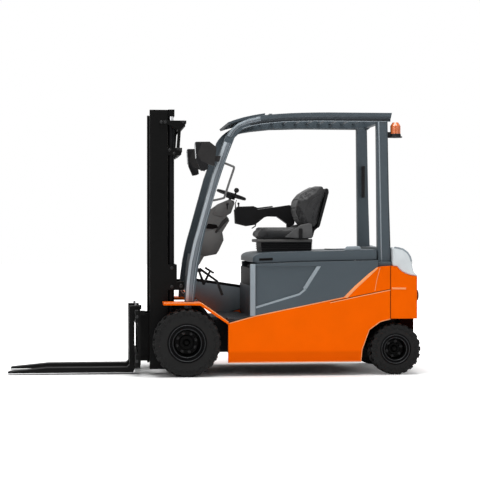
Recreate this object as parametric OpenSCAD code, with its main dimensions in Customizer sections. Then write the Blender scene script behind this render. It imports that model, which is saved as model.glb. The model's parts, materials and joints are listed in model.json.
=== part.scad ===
// Electric counterbalance forklift with a two stage mast, built as separate nodes in one frame.
// Forks point to -X, the truck's left side is -Y, Z is up from the floor, all sizes in millimetres.
// Inside the modules X is counted from the front axle; in_frame() moves everything to the frame's centre.

/* [Stance] */
// Distance between the front and the rear wheel centres
wheelbase = 1850; // [1790:1:1910]
// Width over the front tyres
overall_width = 1240; // [1200:1:1280]
// Outside diameter of a front tyre
front_tyre_od = 590; // [570:1:610]
// Width of a front tyre
front_tyre_width = 229; // [210:1:235]
// Outside diameter of a rear tyre
rear_tyre_od = 455; // [435:1:470]
// Width of a rear tyre
rear_tyre_width = 180; // [165:1:190]
// Width over the rear tyres
rear_track_outside = 1150; // [1120:1:1165]
// Radius of the front rim where the tyre sits
front_rim_r = 127; // [118:1:140]
// Radius of the rear rim where the tyre sits
rear_rim_r = 102; // [94:1:110]
// Number of tread lugs around a front tyre
front_lugs = 26; // [18:1:32]
// Number of tread lugs around a rear tyre
rear_lugs = 22; // [16:1:28]
// Depth of the grooves between lugs
lug_depth = 14; // [6:1:20]

/* [Axles] */
// Radius of the drive axle tube
axle_r = 65; // [55:1:75]
// Radius of the stub that carries a front wheel
front_stub_r = 42; // [30:1:50]
// Radius of the stub that carries a rear wheel
rear_stub_r = 30; // [22:1:33]
// Distance from a steering pin to the middle of its wheel
kingpin_offset = 80; // [76:1:90]
// Radius of the steering pins
kingpin_r = 16; // [12:1:20]
// Half height of the steering axle's beam
beam_half = 55; // [50:1:60]
// Gap around a turning shaft or pin
shaft_gap = 0.05; // [0.02:0.01:0.1]
// Room kept free around a steered wheel as it turns
sweep_room = 8; // [6:1:14]

/* [Mast] */
// Height of the inner mast, the truck's highest point
mast_top = 2350; // [2330:1:2380]
// Height of the outer mast
outer_top = 2345; // [2270:1:2346]
// Height of the mast's lower end above the floor
mast_bottom = 50; // [44:1:70]
// Gap between a front tyre and the mast beside it
tyre_room = 31; // [24:1:34]
// Thickness of the rails' webs and flanges
rail_wall = 18; // [15:1:20]
// Width of a mast rail, across the truck
rail_width = 68; // [64:1:70]
// Gap between the outer and the inner rails, across the truck
rail_room = 8; // [6:1:10]
// Front face of the outer rails, from the front axle
outer_front_x = -315; // [-320:1:-310]
// Rear face of the outer rails, from the front axle
outer_rear_x = -157; // [-160:1:-156]
// Front face of the inner rails, from the front axle
inner_front_x = -290; // [-294:1:-286]
// Rear face of the inner rails, from the front axle
inner_rear_x = -158; // [-162:1:-158]
// Play of the rollers between the flanges
roller_gap = 0.5; // [0.3:0.1:1]
// Radius of a lift cylinder
lift_barrel_r = 28; // [26:1:29]
// Radius of a lift rod
lift_rod_r = 22; // [16:1:23]
// Gap between a rod and its barrel
rod_gap = 0.5; // [0.3:0.1:1]
// Axis of the lift cylinders, from the front axle
lift_x = -125; // [-126:1:-124]
// Radius of a chain pulley
sheave_r = 58; // [54:1:60]
// Axis of the chain pulleys, from the front axle and the floor
sheave_at = [-190, 2220];
// Thickness of a lift chain
chain_thick = 12; // [9:1:12]
// Width of a lift chain
chain_width = 22; // [18:1:24]

/* [Carriage and forks] */
// Length of a fork blade ahead of its shank
fork_length = 1070; // [900:10:1200]
// Width of a fork
fork_width = 120; // [100:1:124]
// Thickness of a fork
fork_thick = 45; // [38:1:48]
// Thickness of a blade at its tip
fork_tip_thick = 12; // [9:1:16]
// Height of the blades' underside
fork_bottom = 16; // [12:1:20]
// Distance of each fork from the centre plane
fork_y = 225; // [205:1:230]
// Top of the fork shanks
fork_top = 605; // [600:1:612]
// Rear face of the fork shanks, from the front axle
fork_back_x = -448; // [-452:1:-444]
// Gap between a fork and the carriage it slides on
fork_gap = 0.5; // [0.3:0.1:1]
// Half of the carriage's width
carriage_half_width = 520; // [515:1:540]
// Thickness of the carriage bars
bar_thick = 28; // [24:1:32]

/* [Tilt cylinders] */
// Radius of a tilt cylinder
tilt_barrel_r = 34; // [30:1:35]
// Radius of a tilt rod
tilt_rod_r = 14; // [11:1:16]
// Where a tilt cylinder's foot turns on the chassis, from the front axle and the floor
tilt_foot = [250, 430];
// Where a tilt rod's eye turns on the mast, from the front axle and the floor
tilt_eye = [-38, 784];
// Radius of the pins at both ends
tilt_pin_r = 13; // [10:1:14]
// Play of a rod's eye around the mast's pin, for its drift over the tilt
eye_play = 2.8; // [2.6:0.1:3.2]

/* [Body] */
// Half width over the painted sides
body_half = 585; // [578:1:600]
// Thickness of the painted side plates
side_thick = 25; // [20:1:28]
// Underside of the body
body_bottom = 120; // [115:1:135]
// Front edge of the painted sides, from the front axle
side_front_x = 361; // [358:1:362]
// Cabin floor height
floor_z = 505; // [500:1:508]
// Thickness of the cabin floor
floor_thick = 26; // [20:1:30]
// Thickness of the inner plates of the chassis
frame_plate = 14; // [10:1:15]
// Front edge of the left side cover, from the front axle
cover_front_left = 552; // [545:1:560]
// Front edge of the right side cover, from the front axle
cover_front_right = 598; // [590:1:602]
// Distance from the rear axle back to the counterweight's end
rear_overhang = 245; // [235:1:260]
// Distance by which the counterweight's corners stay ahead of its middle
rear_bulge = 55; // [40:1:70]
// Underside of the counterweight over the steered wheels
arch_top = 497; // [495:1:499]
// Room in front of, beside and behind the battery block
battery_room = [40, 46, 49];
// Top of the battery block
battery_top = 952; // [900:1:956]

/* [Overhead guard] */
// Distance from the body's outside to the guard's outside
guard_inset = 65; // [60:1:80]
// Width of a guard pillar, across the truck
pillar_width = 70; // [60:1:75]
// Top of the roof
roof_top = 2321; // [2315:1:2328]
// Height of the roof's side rails
roof_rail = 74; // [70:1:76]
// Number of roof bars
roof_bars = 9; // [6:1:12]
// Width of a roof bar
roof_bar = 24; // [16:1:36]

/* [Driver's place] */
// Front edge of the hood lid, from the front axle
lid_front_x = 583; // [575:1:590]
// Height of the lid's flat top behind its rounded front
lid_z = 1084; // [1080:1:1088]
// Rise of the lid's top for each millimetre to the rear
lid_rise = 0.0259; // [0.02:0.0001:0.028]
// Radius of the lid's front corners in plan
lid_corner_r = 48; // [20:1:70]
// Gap between the lid and the side covers under it
lid_gap = 5; // [4:0.5:8]
// Radius of the hood's hinge pins
hinge_pin_r = 7; // [5:1:8]
// Hinge axis of the hood, from the rear axle and the floor
hinge_behind = [-158, 1095];
// Half width of the seat cushion
seat_half = 250; // [235:1:258]
// Radius of the steering wheel
wheel_ring_r = 128; // [120:1:140]
// Radius of the steering wheel's rim section
wheel_tube_r = 13; // [10:1:15]
// Angle of the steering wheel from level
wheel_angle = 18; // [14:1:22]
// Centre of the steering wheel, from the front axle and the floor
wheel_at = [443, 1604];

/* [Hidden] */
// Sizes that follow from those above
rear_x = wheelbase + rear_overhang;
seam_x = wheelbase - 49;
fork_front_x = fork_back_x - fork_thick;
fork_tip_x = fork_front_x - fork_length;
frame_x = -(fork_tip_x + rear_x) / 2;
front_r = front_tyre_od / 2;
rear_r = rear_tyre_od / 2;
front_wheel_y = overall_width / 2 - front_tyre_width / 2;
rear_wheel_y = rear_track_outside / 2 - rear_tyre_width / 2;
kingpin_y = rear_wheel_y - kingpin_offset;
sweep_side = kingpin_offset + rear_tyre_width / 2;
sweep_r = sqrt(sweep_side * sweep_side + rear_r * rear_r) + sweep_room;
outer_half = overall_width / 2 - front_tyre_width - tyre_room;
outer_in = outer_half - rail_width;
inner_half = outer_in - rail_room;
inner_in = inner_half - rail_width;
mast_roller_r = (outer_rear_x - outer_front_x) / 2 - rail_wall - roller_gap;
mast_roller_x = (outer_rear_x + outer_front_x) / 2;
carriage_roller_r = (inner_rear_x - inner_front_x) / 2 - rail_wall - roller_gap;
carriage_roller_x = (inner_rear_x + inner_front_x) / 2;
lift_y = outer_half - 54;
chain_y = inner_half - 132;
tilt_y = outer_half - 35;
top_tie_z = mast_top - 60;
side_in = body_half - side_thick;
frame_in = side_in - frame_plate;
floor_low = floor_z - floor_thick;
beam_low = floor_low - 40;
guard_half = body_half - guard_inset;
guard_in = guard_half - pillar_width;
roof_low = roof_top - roof_rail;
bay_front_x = lid_front_x + 17;
bay_back_x = wheelbase - 450;
hinge_at = [wheelbase + hinge_behind[0], hinge_behind[1]];
tilt_dx = tilt_eye[0] - tilt_foot[0];
tilt_dz = tilt_eye[1] - tilt_foot[1];
tilt_length = sqrt(tilt_dx * tilt_dx + tilt_dz * tilt_dz);
tilt_angle = atan2(tilt_dx, tilt_dz);
bulge_r = (body_half * body_half + rear_bulge * rear_bulge) / (2 * rear_bulge);
bar_front = fork_back_x + fork_gap;
bar_back = bar_front + bar_thick;

// Points of a curve that leaves a towards b and ends at c, without its first points if asked
function bow(a, b, c, steps = 8, first = 0) =
    [for (i = [first:steps]) let (t = i / steps) (1 - t) * (1 - t) * a + 2 * t * (1 - t) * b + t * t * c];
function backwards(points) = [for (i = [len(points) - 1:-1:0]) points[i]];
function lifted(points, dz) = [for (p = points) [p[0], p[1] + dz]];
// Height of the lid's top and of the painted side's upper edge
function lid_top(x) = lid_z + (x - 752) * lid_rise;
function side_top(x) = 465 + (x - side_front_x) * 0.2694;

// Outlines in the X and Z plane, counted from the front axle and the floor
wing = [
    [wheelbase - 470, 688], [wheelbase - 370, 788], [wheelbase - 245, 897], [wheelbase - 170, 953]];
side_outline = concat(
    [[side_front_x, 465], [side_front_x, body_bottom], [wheelbase - 312, body_bottom], [wheelbase - 299,
        233],
        [wheelbase - 236, 400], [wheelbase - 138, 470], [seam_x, 492], [seam_x, 965], [wheelbase - 110,
            962]],
    backwards(wing), [[603, side_top(603)]]);
function cover_outline(front) = concat(
    [[front, side_top(front)], [603, side_top(603)]], wing,
    [[wheelbase - 160, 954.5], [wheelbase - 160, 1020 - lid_gap], [997, 1006 - lid_gap], [625,
        992 - lid_gap],
        [front, 989 - lid_gap]]);
valley = bow([wheelbase + 13, 958], [wheelbase + 48, 890], [wheelbase + 177, 873]);
weight_outline = concat(
    [[seam_x, arch_top], [seam_x, 965]], valley,
    [[wheelbase + 220, 862], [rear_x, 800], [rear_x, 230], [rear_x - 35, 160], [wheelbase + 125, 160],
        [wheelbase + 125, arch_top]]);
shoulder_outline = concat(
    [[wheelbase - 28, 963], [wheelbase - 28, 1130]],
    bow([wheelbase + 20, 1130], [wheelbase + 108, 1118], [wheelbase + 150, 995]),
    bow([wheelbase + 150, 995], [wheelbase + 160, 905], [wheelbase + 199, 887], 5, 1),
    [[wheelbase + 199, 867.8]], lifted(backwards(valley), 0.2));
pillar_head = [348, roof_top - 213];
pillar_inner = [421, roof_top - 234];
pillar_outline = concat(
    bow([-14, 650], [2, 990], [92, 1281]), [[225, 1763], pillar_head], bow(pillar_inner, [134, 1378],
        [65, 650], 14));
rail_outline = concat(
    bow(pillar_head, [430, roof_top - 71], [647, roof_top - 35]),
    bow([647, roof_top - 35], [850, roof_top - 3], [1270, roof_top], 6, 1),
    [[wheelbase - 24, roof_top], [wheelbase - 40, roof_low]],
    bow([1140, roof_low], [800, roof_low - 3], [665, roof_low - 29], 5),
    bow([665, roof_low - 29], [460, roof_low - 66], pillar_inner, 6, 1));
column_outline = [
    [94, 960], [100.3, 1007], [112.3, 1060], [125, 1200], [192, 1427], [322, 1519], [420, 1560], [462,
        1548],
    [466, 1522], [434, 1435], [395, 1411], [411, 1388], [419, 1365], [355, 1262], [367, 1191], [324, 1097],
    [300, 1061], [261, 1054], [187, 1040], [140, 960]];
cowl_front = [[30, 650], [36, 790], [46, 890], [62, 1007], [70, 1060]];
cowl_back = [[112, 1060], [100, 1007], [84, 890], [76, 790], [60, 650]];
cushion_outline = concat(
    [[679, 1200], [642, 1231]], bow([650, 1256], [664, 1288], [708, 1291], 5), [[958, 1303], [1100, 1303],
    [1160, 1290], [1160, 1200]]);
back_outline = concat(
    [[1084, 1304], [1035, 1388]], bow([1012, 1460], [984, 1545], [1054, 1595], 6), [[1128, 1644]],
    bow([1176, 1677], [1300, 1735], [1312, 1622], 8), [[1223, 1303], [1190, 1274], [1172, 1213], [1160.3,
        1213],
    [1160.3, 1290.5], [1100, 1303.5]]);
armrest_outline = [
    [500, 1470], [508, 1342], [608, 1317], [691, 1329], [779, 1399], [810, 1408], [900, 1406], [1033, 1311],
    [1062, 1335], [1078, 1440], [1068, 1500], [1014, 1516], [862, 1493], [716, 1474], [680, 1492], [520,
        1485]];

module in_frame() {
    translate([frame_x, 0, 0]) children();
}

module both() {
    children();
    mirror([0, 1, 0]) children();
}

// A plate with an outline in the X and Z plane, between two distances from the centre plane
module plate(points, near, far) {
    translate([0, far, 0]) rotate([90, 0, 0]) linear_extrude(far - near) polygon(points);
}

// A box from its low corner to its high corner
module box(low, high) {
    translate(low) cube([high[0] - low[0], high[1] - low[1], high[2] - low[2]]);
}

// A round bar along Y between two distances from the centre plane
module bar_y(r, near, far, x, z, sides) {
    translate([x, near, z]) rotate([-90, 0, 0]) cylinder(r = r, h = far - near, $fn = sides);
}

module chassis_sides() color([0.12, 0.12, 0.13]) in_frame() {
    both() plate([
        [380, 140], [380, 450], [603, floor_low], [1360, 650], [wheelbase - 350, 780], [wheelbase - 250,
            870],
        [wheelbase - 150, 940], [seam_x, 955], [seam_x, 500], [wheelbase - 138, 480], [wheelbase - 250,
            410],
        [wheelbase - 320, 240], [wheelbase - 330, 140]], frame_in, side_in);
}

module chassis_frame() color([0.12, 0.12, 0.13]) in_frame() {
    tray_z = 150;
    tray_top = tray_z + 18;
    rail_far = inner_half;
    rail_near = inner_half - 22;
    difference() {
        union() {
            box([420, -frame_in, tray_z], [wheelbase - 370, frame_in, tray_top]);
            box([bay_front_x - 15, -frame_in, tray_top], [bay_front_x, frame_in, 940]);
            box([bay_back_x, -frame_in, tray_top], [bay_back_x + 15, frame_in, 700]);
            box([bay_back_x + 15, -190, 330], [wheelbase - 70, 190, 350]);
            both() box([bay_back_x + 15, 170, 350], [wheelbase - 70, 190, 500]);
            box([bay_back_x + 15, -frame_in, 500], [seam_x, frame_in, 518]);
            box([wheelbase - 160, -frame_in, 970], [wheelbase - 30, frame_in, 996]);
            box([seam_x - 14, -frame_in, 518], [seam_x, frame_in, 970]);
            both() plate([[-70, 190], [-70, 300], [-38, floor_low], [bay_front_x - 15, floor_low],
                [bay_front_x - 15, 190]], rail_near, rail_far);
            both() box([372, rail_far, beam_low], [bay_front_x - 15, frame_in, floor_low]);
            box([350, -rail_near, floor_low - 20], [bay_front_x - 15, rail_near, floor_low]);
        }
        both() bar_y(axle_r + 0.2, rail_near - 10, rail_far + 10, 0, front_r, 96);
    }
    both() bar_y(tilt_pin_r, rail_far, tilt_y + 32, tilt_foot[0], tilt_foot[1], 64);
}

module floor_plate() color([0.16, 0.17, 0.18]) in_frame() {
    sill = 17;
    box([62, -inner_half, floor_low], [bay_front_x - 15.3, inner_half, floor_z]);
    both() {
        box([side_front_x + 2, inner_half, floor_low], [cover_front_left - 0.5, side_in, floor_z]);
        box([300, inner_half, floor_low], [side_front_x + 2, outer_half + 14, floor_z]);
    }
    plate([[side_front_x, side_top(side_front_x)], [side_front_x, side_top(side_front_x) + sill],
        [cover_front_left - 0.5, side_top(cover_front_left) + sill],
        [cover_front_left - 0.5, side_top(cover_front_left)]], -side_in - 20, -side_in);
}

module side_panel() color([0.93, 0.33, 0.02]) in_frame() {
    plate(side_outline, side_in, body_half);
}
module side_panel_left() mirror([0, 1, 0]) side_panel();
module side_panel_right() side_panel();

module side_cover(front) color([0.25, 0.30, 0.35]) in_frame() {
    difference() {
        plate(cover_outline(front), side_in, body_half);
        plate([[604, 962], [1179, 962], [1046, 754], [993, 710], [604, 594]], body_half - 10,
            body_half + 5);
    }
}
module side_cover_left() mirror([0, 1, 0]) side_cover(cover_front_left);
module side_cover_right() side_cover(cover_front_right);

module fenders() color([0.93, 0.33, 0.02]) in_frame() {
    both() plate([
        [-205, 628], [-205, 650], [122, 650], [side_front_x, 482], [side_front_x, 455], [340, 470], [112,
            625]],
        outer_half + 14, overall_width / 2 - 8);
}

module front_cowl() color([0.22, 0.27, 0.31]) in_frame() {
    difference() {
        union() {
            plate(concat([[30, floor_low]], cowl_front, cowl_back, [[60, floor_low]]),
                -outer_half - 13, outer_half + 13);
            both() plate(lifted(concat(cowl_front, cowl_back), 0.2), outer_half + 13, guard_in);
        }
        both() box([0, inner_half - 2, floor_low - 1], [140, outer_half + 13, 852]);
    }
}

module side_wall_right() color([0.22, 0.27, 0.31]) in_frame() {
    wall_end = cover_front_right - 0.5;
    plate([[100, 650], [100, 828], [wall_end, 755], [wall_end, side_top(wall_end) + 0.3], [side_front_x,
        465.3],
        [side_front_x, 482], [122, 650]], side_in, side_in + 22);
}

module battery_block() color([0.10, 0.10, 0.11]) in_frame() {
    box([bay_front_x + battery_room[0], -side_in + battery_room[1], 168],
        [bay_back_x - battery_room[2], side_in - battery_room[1], battery_top]);
}

module counterweight() color([0.93, 0.33, 0.02]) in_frame() {
    difference() {
        intersection() {
            plate(weight_outline, -body_half, body_half);
            translate([rear_x - bulge_r, 0, 100]) cylinder(r = bulge_r, h = 1000, $fn = 256);
        }
        both() translate([wheelbase, kingpin_y, 0]) cylinder(r = sweep_r, h = arch_top, $fn = 96);
        both() box([wheelbase - 350, kingpin_y, 0], [wheelbase + 350, body_half + 100, arch_top]);
        translate([rear_x - 120, 0, 420]) rotate([0, 90, 0]) cylinder(r = 55, h = 200, $fn = 64);
    }
}

module rear_shoulders() color([0.72, 0.73, 0.74]) in_frame() {
    plate(shoulder_outline, -body_half + 8, body_half - 8);
}

module front_pillars() color([0.25, 0.30, 0.35]) in_frame() {
    both() plate(pillar_outline, guard_in, guard_half);
}

module rear_pillars() color([0.25, 0.30, 0.35]) in_frame() {
    both() plate([
        [wheelbase - 161, roof_low], [wheelbase - 64, roof_low], [wheelbase - 50, 1547], [wheelbase - 32,
            996],
        [wheelbase - 149, 996], [wheelbase - 154, 1547]], guard_in, guard_half);
}

module roof_frame() color([0.25, 0.30, 0.35]) in_frame() {
    both() plate(rail_outline, guard_in, guard_half);
    box([wheelbase - 90, -guard_in, roof_low + 8], [wheelbase - 40, guard_in, roof_top - 4]);
    plate(concat(bow([440, roof_top - 216], [490, roof_top - 160], [545, roof_top - 116], 4),
        bow([530, roof_top - 96], [470, roof_top - 140], [420, roof_top - 191], 4)), -guard_in, guard_in);
    plate(concat(bow([372, roof_top - 89], [500, roof_top - 35], [700, roof_top - 6], 6),
        bow([700, roof_top - 38], [510, roof_top - 62], [384, roof_top - 107], 6)), -guard_in, guard_in);
}

module roof_grille() color([0.25, 0.30, 0.35]) in_frame() {
    pitch = (wheelbase - 210 - 740) / (roof_bars - 1);
    for (i = [0:roof_bars - 1])
        box([740 + i * pitch, -guard_in, roof_top - 34], [740 + i * pitch + roof_bar, guard_in,
            roof_top - 10]);
}

module steering_column() color([0.15, 0.15, 0.16]) in_frame() {
    difference() {
        plate(column_outline, -62, 62);
        translate([wheel_at[0], 0, wheel_at[1]]) rotate([0, wheel_angle, 0])
            translate([0, 0, -44]) cylinder(r = wheel_ring_r + 40, h = 120, $fn = 64);
    }
    translate([wheel_at[0], 0, wheel_at[1]]) rotate([0, wheel_angle, 0])
        translate([0, 0, -60]) cylinder(r = 12, h = 50, $fn = 48);
}

module steering_wheel() color([0.10, 0.10, 0.11]) in_frame() {
    translate([wheel_at[0], 0, wheel_at[1]]) rotate([0, wheel_angle, 0]) {
        rotate_extrude($fn = 96) translate([wheel_ring_r, 0]) circle(r = wheel_tube_r, $fn = 32);
        difference() {
            translate([0, 0, -38]) cylinder(r = 42, h = 46, $fn = 64);
            translate([0, 0, -39]) cylinder(r = 12 + shaft_gap, h = 31, $fn = 48);
        }
        for (a = [60, 180, 300])
            rotate([0, 0, a]) box([20, -14, -10], [wheel_ring_r, 14, 2]);
        rotate([0, 0, -80]) translate([wheel_ring_r, 0, 5]) cylinder(r = 8, h = 25, $fn = 32);
        rotate([0, 0, -80]) translate([wheel_ring_r, 0, 46]) sphere(r = 23, $fn = 48);
    }
}

module pedals() color([0.08, 0.08, 0.09]) in_frame() {
    plate([[86.2, 905], [90.3, 935], [150, 935], [150, 905]], -230, -66);
    plate([[130, 925], [142, 944], [299, 830], [287, 815]], -218, -204);
    plate([[287, 815], [299, 830], [350, 700], [332, 694]], -246, -176);
    plate([[130, 905], [150, 905], [184, 822], [232, 915], [246, 906], [190, 785], [172, 785]], -122, -108);
    plate([[190, 932], [198, 947], [272, 899], [264, 886]], -170, -80);
}

module hood_lid() color([0.25, 0.30, 0.35]) in_frame() {
    lid_end = wheelbase - 170;
    corner_x = lid_front_x + lid_corner_r;
    corner_y = side_in - lid_corner_r;
    difference() {
        plate(concat(
            [[lid_front_x, 997]], bow([lid_front_x, 1030], [lid_front_x + 7, lid_z - 5], [752, lid_z]),
            [[lid_end - 8, lid_top(lid_end - 8)], [lid_end, lid_top(lid_end - 8) - 6], [lid_end, 1020],
            [997, 1006], [625, 992]]), -side_in, side_in);
        plate([[lid_front_x + 24, 900], [lid_front_x + 24, 1028], [650, lid_z - 28], [lid_end - 20,
            lid_z - 28],
            [lid_end - 20, 900]], -side_in + 24, side_in - 24);
        both() difference() {
            box([lid_front_x - 1, corner_y, 900], [corner_x, side_in + 1, 1200]);
            translate([corner_x, corner_y, 890]) cylinder(r = lid_corner_r, h = 320, $fn = 64);
        }
    }
    both() difference() {
        plate([for (p = [[-13, -14], [-13, 14], [2, 14], [12, 6], [12, -6], [2, -14]]) p + hinge_at],
            335, 355);
        bar_y(hinge_pin_r + shaft_gap, 330, 360, hinge_at[0], hinge_at[1], 48);
    }
}

module rear_deck() color([0.25, 0.30, 0.35]) in_frame() {
    deck_front = wheelbase - 138;
    box([deck_front, -guard_in + 1, 996], [wheelbase - 28.3, guard_in - 1, 1126]);
    both() {
        bar_y(hinge_pin_r + 3, 310, 330, hinge_at[0], hinge_at[1], 48);
        box([hinge_at[0], 310, hinge_at[1] - 6], [deck_front, 330, hinge_at[1] + 6]);
        bar_y(hinge_pin_r, 310, 358, hinge_at[0], hinge_at[1], 48);
    }
}

module seat_base() color([0.08, 0.08, 0.09]) in_frame() {
    plate([[752, lid_top(752)], [700, lid_top(752)], [690, 1200], [1160, 1200], [1150, lid_top(1150)]],
        -200, 200);
}

module seat_cushion() color([0.13, 0.13, 0.14]) in_frame() {
    plate(cushion_outline, -seat_half, seat_half);
}

module seat_back() color([0.13, 0.13, 0.14]) in_frame() {
    plate(back_outline, -seat_half + 12, seat_half - 12);
}

module armrest_console() color([0.12, 0.12, 0.13]) in_frame() {
    plate(armrest_outline, seat_half + 25, seat_half + 115);
    box([985, seat_half + 3, 1160], [1045, seat_half + 25, 1340]);
    box([985, 200, 1160], [1045, seat_half + 3, 1185]);
}

module front_lamps() color([0.20, 0.21, 0.22]) in_frame() {
    both() {
        plate([[88, 1893], [79, 2050], [197, 2052], [259, 2003], [240, 1840], [124, 1879]],
            guard_half + 6, guard_half + 70);
        plate([[235, 1880], [235, 1930], [300, 1930], [285, 1880]], guard_half, guard_half + 30);
    }
}

module beacon() color([0.95, 0.55, 0.05]) in_frame() {
    beacon_x = wheelbase + 14;
    beacon_y = -guard_half + pillar_width / 2;
    translate([beacon_x, beacon_y, 2112]) cylinder(r = 45, h = 95, $fn = 64);
    translate([beacon_x, beacon_y, 2207]) cylinder(r1 = 45, r2 = 26, h = 31, $fn = 64);
    translate([beacon_x, beacon_y, 2104]) cylinder(r = 58, h = 8, $fn = 64);
    box([wheelbase - 61.2, beacon_y - 15, 2104], [wheelbase - 20, beacon_y + 15, 2150]);
}

module grips() color([0.08, 0.08, 0.09]) in_frame() {
    grip_y = guard_in - 50;
    translate([wheelbase - 110, grip_y, 1590]) cylinder(r = 17, h = 300, $fn = 48);
    for (z = [1600, 1855])
        box([wheelbase - 125, grip_y, z], [wheelbase - 95, guard_in, z + 25]);
    difference() {
        plate(concat([[215, 1528]], bow([320, 1553], [344, 1558], [350, 1580], 3), bow([426, 1818], [434,
            1840],
            [412, 1846], 3), [[290, 1894], [285, 1877]], bow([396, 1832], [411, 1827], [406, 1812], 3),
            bow([334, 1586], [330, 1572], [315, 1570], 3), [[215, 1546]]), -guard_in - 45, -guard_in - 25);
        plate(pillar_outline, -guard_half - 1, -guard_in + 1);
    }
}

module drive_axle() color([0.10, 0.10, 0.11]) in_frame() {
    bar_y(axle_r, -outer_half - 30, outer_half + 30, 0, front_r, 96);
    bar_y(135, -150, 150, 0, front_r, 96);
    bar_y(front_stub_r, -front_wheel_y, front_wheel_y, 0, front_r, 96);
    translate([60, 0, front_r + 20]) rotate([0, 90, 0]) cylinder(r = 110, h = 330, $fn = 96);
}

module steer_axle() color([0.10, 0.10, 0.11]) in_frame() {
    neck_y = kingpin_y - 80;
    difference() {
        union() {
            translate([0, 0, rear_r - beam_half]) linear_extrude(2 * beam_half) polygon([
                [wheelbase - 75, -190], [wheelbase - 38, -neck_y], [wheelbase - 30, -kingpin_y],
                [wheelbase + 30, -kingpin_y], [wheelbase + 38, -neck_y], [wheelbase + 75, -190],
                [wheelbase + 75, 190], [wheelbase + 38, neck_y], [wheelbase + 30, kingpin_y],
                [wheelbase - 30, kingpin_y], [wheelbase - 38, neck_y], [wheelbase - 75, 190]]);
            both() translate([wheelbase, kingpin_y, rear_r - beam_half])
                cylinder(r = 30, h = 2 * beam_half, $fn = 64);
            box([wheelbase - 70, -60, rear_r + beam_half], [wheelbase + 70, 60, arch_top]);
        }
        both() box([wheelbase - 90, kingpin_y - 40, rear_r - 34], [wheelbase + 90, kingpin_y + 90,
            rear_r + 34]);
        both() translate([wheelbase, kingpin_y, 0]) cylinder(r = kingpin_r + shaft_gap, h = 500, $fn = 64);
    }
}

module knuckle() color([0.10, 0.10, 0.11]) in_frame() {
    translate([wheelbase, kingpin_y, rear_r - 60]) cylinder(r = kingpin_r, h = 120, $fn = 64);
    translate([wheelbase, kingpin_y, rear_r - 33]) cylinder(r = 30, h = 66, $fn = 64);
    bar_y(rear_stub_r, kingpin_y, rear_wheel_y, wheelbase, rear_r, 64);
}
module knuckle_left() mirror([0, 1, 0]) knuckle();
module knuckle_right() knuckle();

// A tyre around the Y axis, centred on the origin, with grooves cut across both shoulders
module tyre(r, w, rim, lugs) {
    groove = PI * 2 * r / lugs * 0.42;
    side = [[rim, 0.36], [rim + 8, 0.44], [rim + 30, 0.455], [rim + 37, 0.475], [rim + 45, 0.465],
        [r - 52, 0.5],
        [r - 16, 0.5], [r - 4, 0.46], [r, 0.40]];
    difference() {
        rotate([90, 0, 0]) rotate_extrude($fn = 128) polygon(concat(
            [for (p = side) [p[0], -p[1] * w]], backwards([for (p = side) [p[0], p[1] * w]])));
        for (side = [0, 1], i = [0:lugs - 1])
            mirror([0, side, 0]) rotate([0, (i + side * 0.5) * 360 / lugs, 0])
                box([-groove / 2, 0.16 * w, r - lug_depth], [groove / 2, 0.6 * w, r + 10]);
    }
}

// A dished rim with its hub, bored for the stub, with the outside towards +Y
module rim(r, w, bore) {
    rotate([-90, 0, 0]) rotate_extrude($fn = 128) polygon([
        [bore + shaft_gap, -0.22 * w], [bore + shaft_gap, 0.01 * w], [0, 0.01 * w], [0, 0.05 * w],
        [bore + 18, 0.05 * w], [bore + 24, -0.02 * w], [r - 14, -0.02 * w], [r - 14, 0.33 * w],
        [r - 8, 0.39 * w], [r + 6, 0.45 * w], [r + 7, 0.44 * w], [r - 0.2, 0.36 * w], [r - 0.2, -0.36 * w],
        [r - 12, -0.36 * w], [r - 12, -0.12 * w], [bore + 26, -0.12 * w], [bore + 20, -0.22 * w]]);
}

module front_tyre() color([0.05, 0.05, 0.05]) in_frame() {
    translate([0, front_wheel_y, front_r]) tyre(front_r, front_tyre_width, front_rim_r, front_lugs);
}
module front_tyre_left() mirror([0, 1, 0]) front_tyre();
module front_tyre_right() front_tyre();

module rear_tyre() color([0.05, 0.05, 0.05]) in_frame() {
    translate([wheelbase, rear_wheel_y, rear_r]) tyre(rear_r, rear_tyre_width, rear_rim_r, rear_lugs);
}
module rear_tyre_left() mirror([0, 1, 0]) rear_tyre();
module rear_tyre_right() rear_tyre();

module front_rim() color([0.09, 0.09, 0.10]) in_frame() {
    translate([0, front_wheel_y, front_r]) rim(front_rim_r, front_tyre_width, front_stub_r);
}
module front_rim_left() mirror([0, 1, 0]) front_rim();
module front_rim_right() front_rim();

module rear_rim() color([0.09, 0.09, 0.10]) in_frame() {
    translate([wheelbase, rear_wheel_y, rear_r]) rim(rear_rim_r, rear_tyre_width, rear_stub_r);
}
module rear_rim_left() mirror([0, 1, 0]) rear_rim();
module rear_rim_right() rear_rim();

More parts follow.
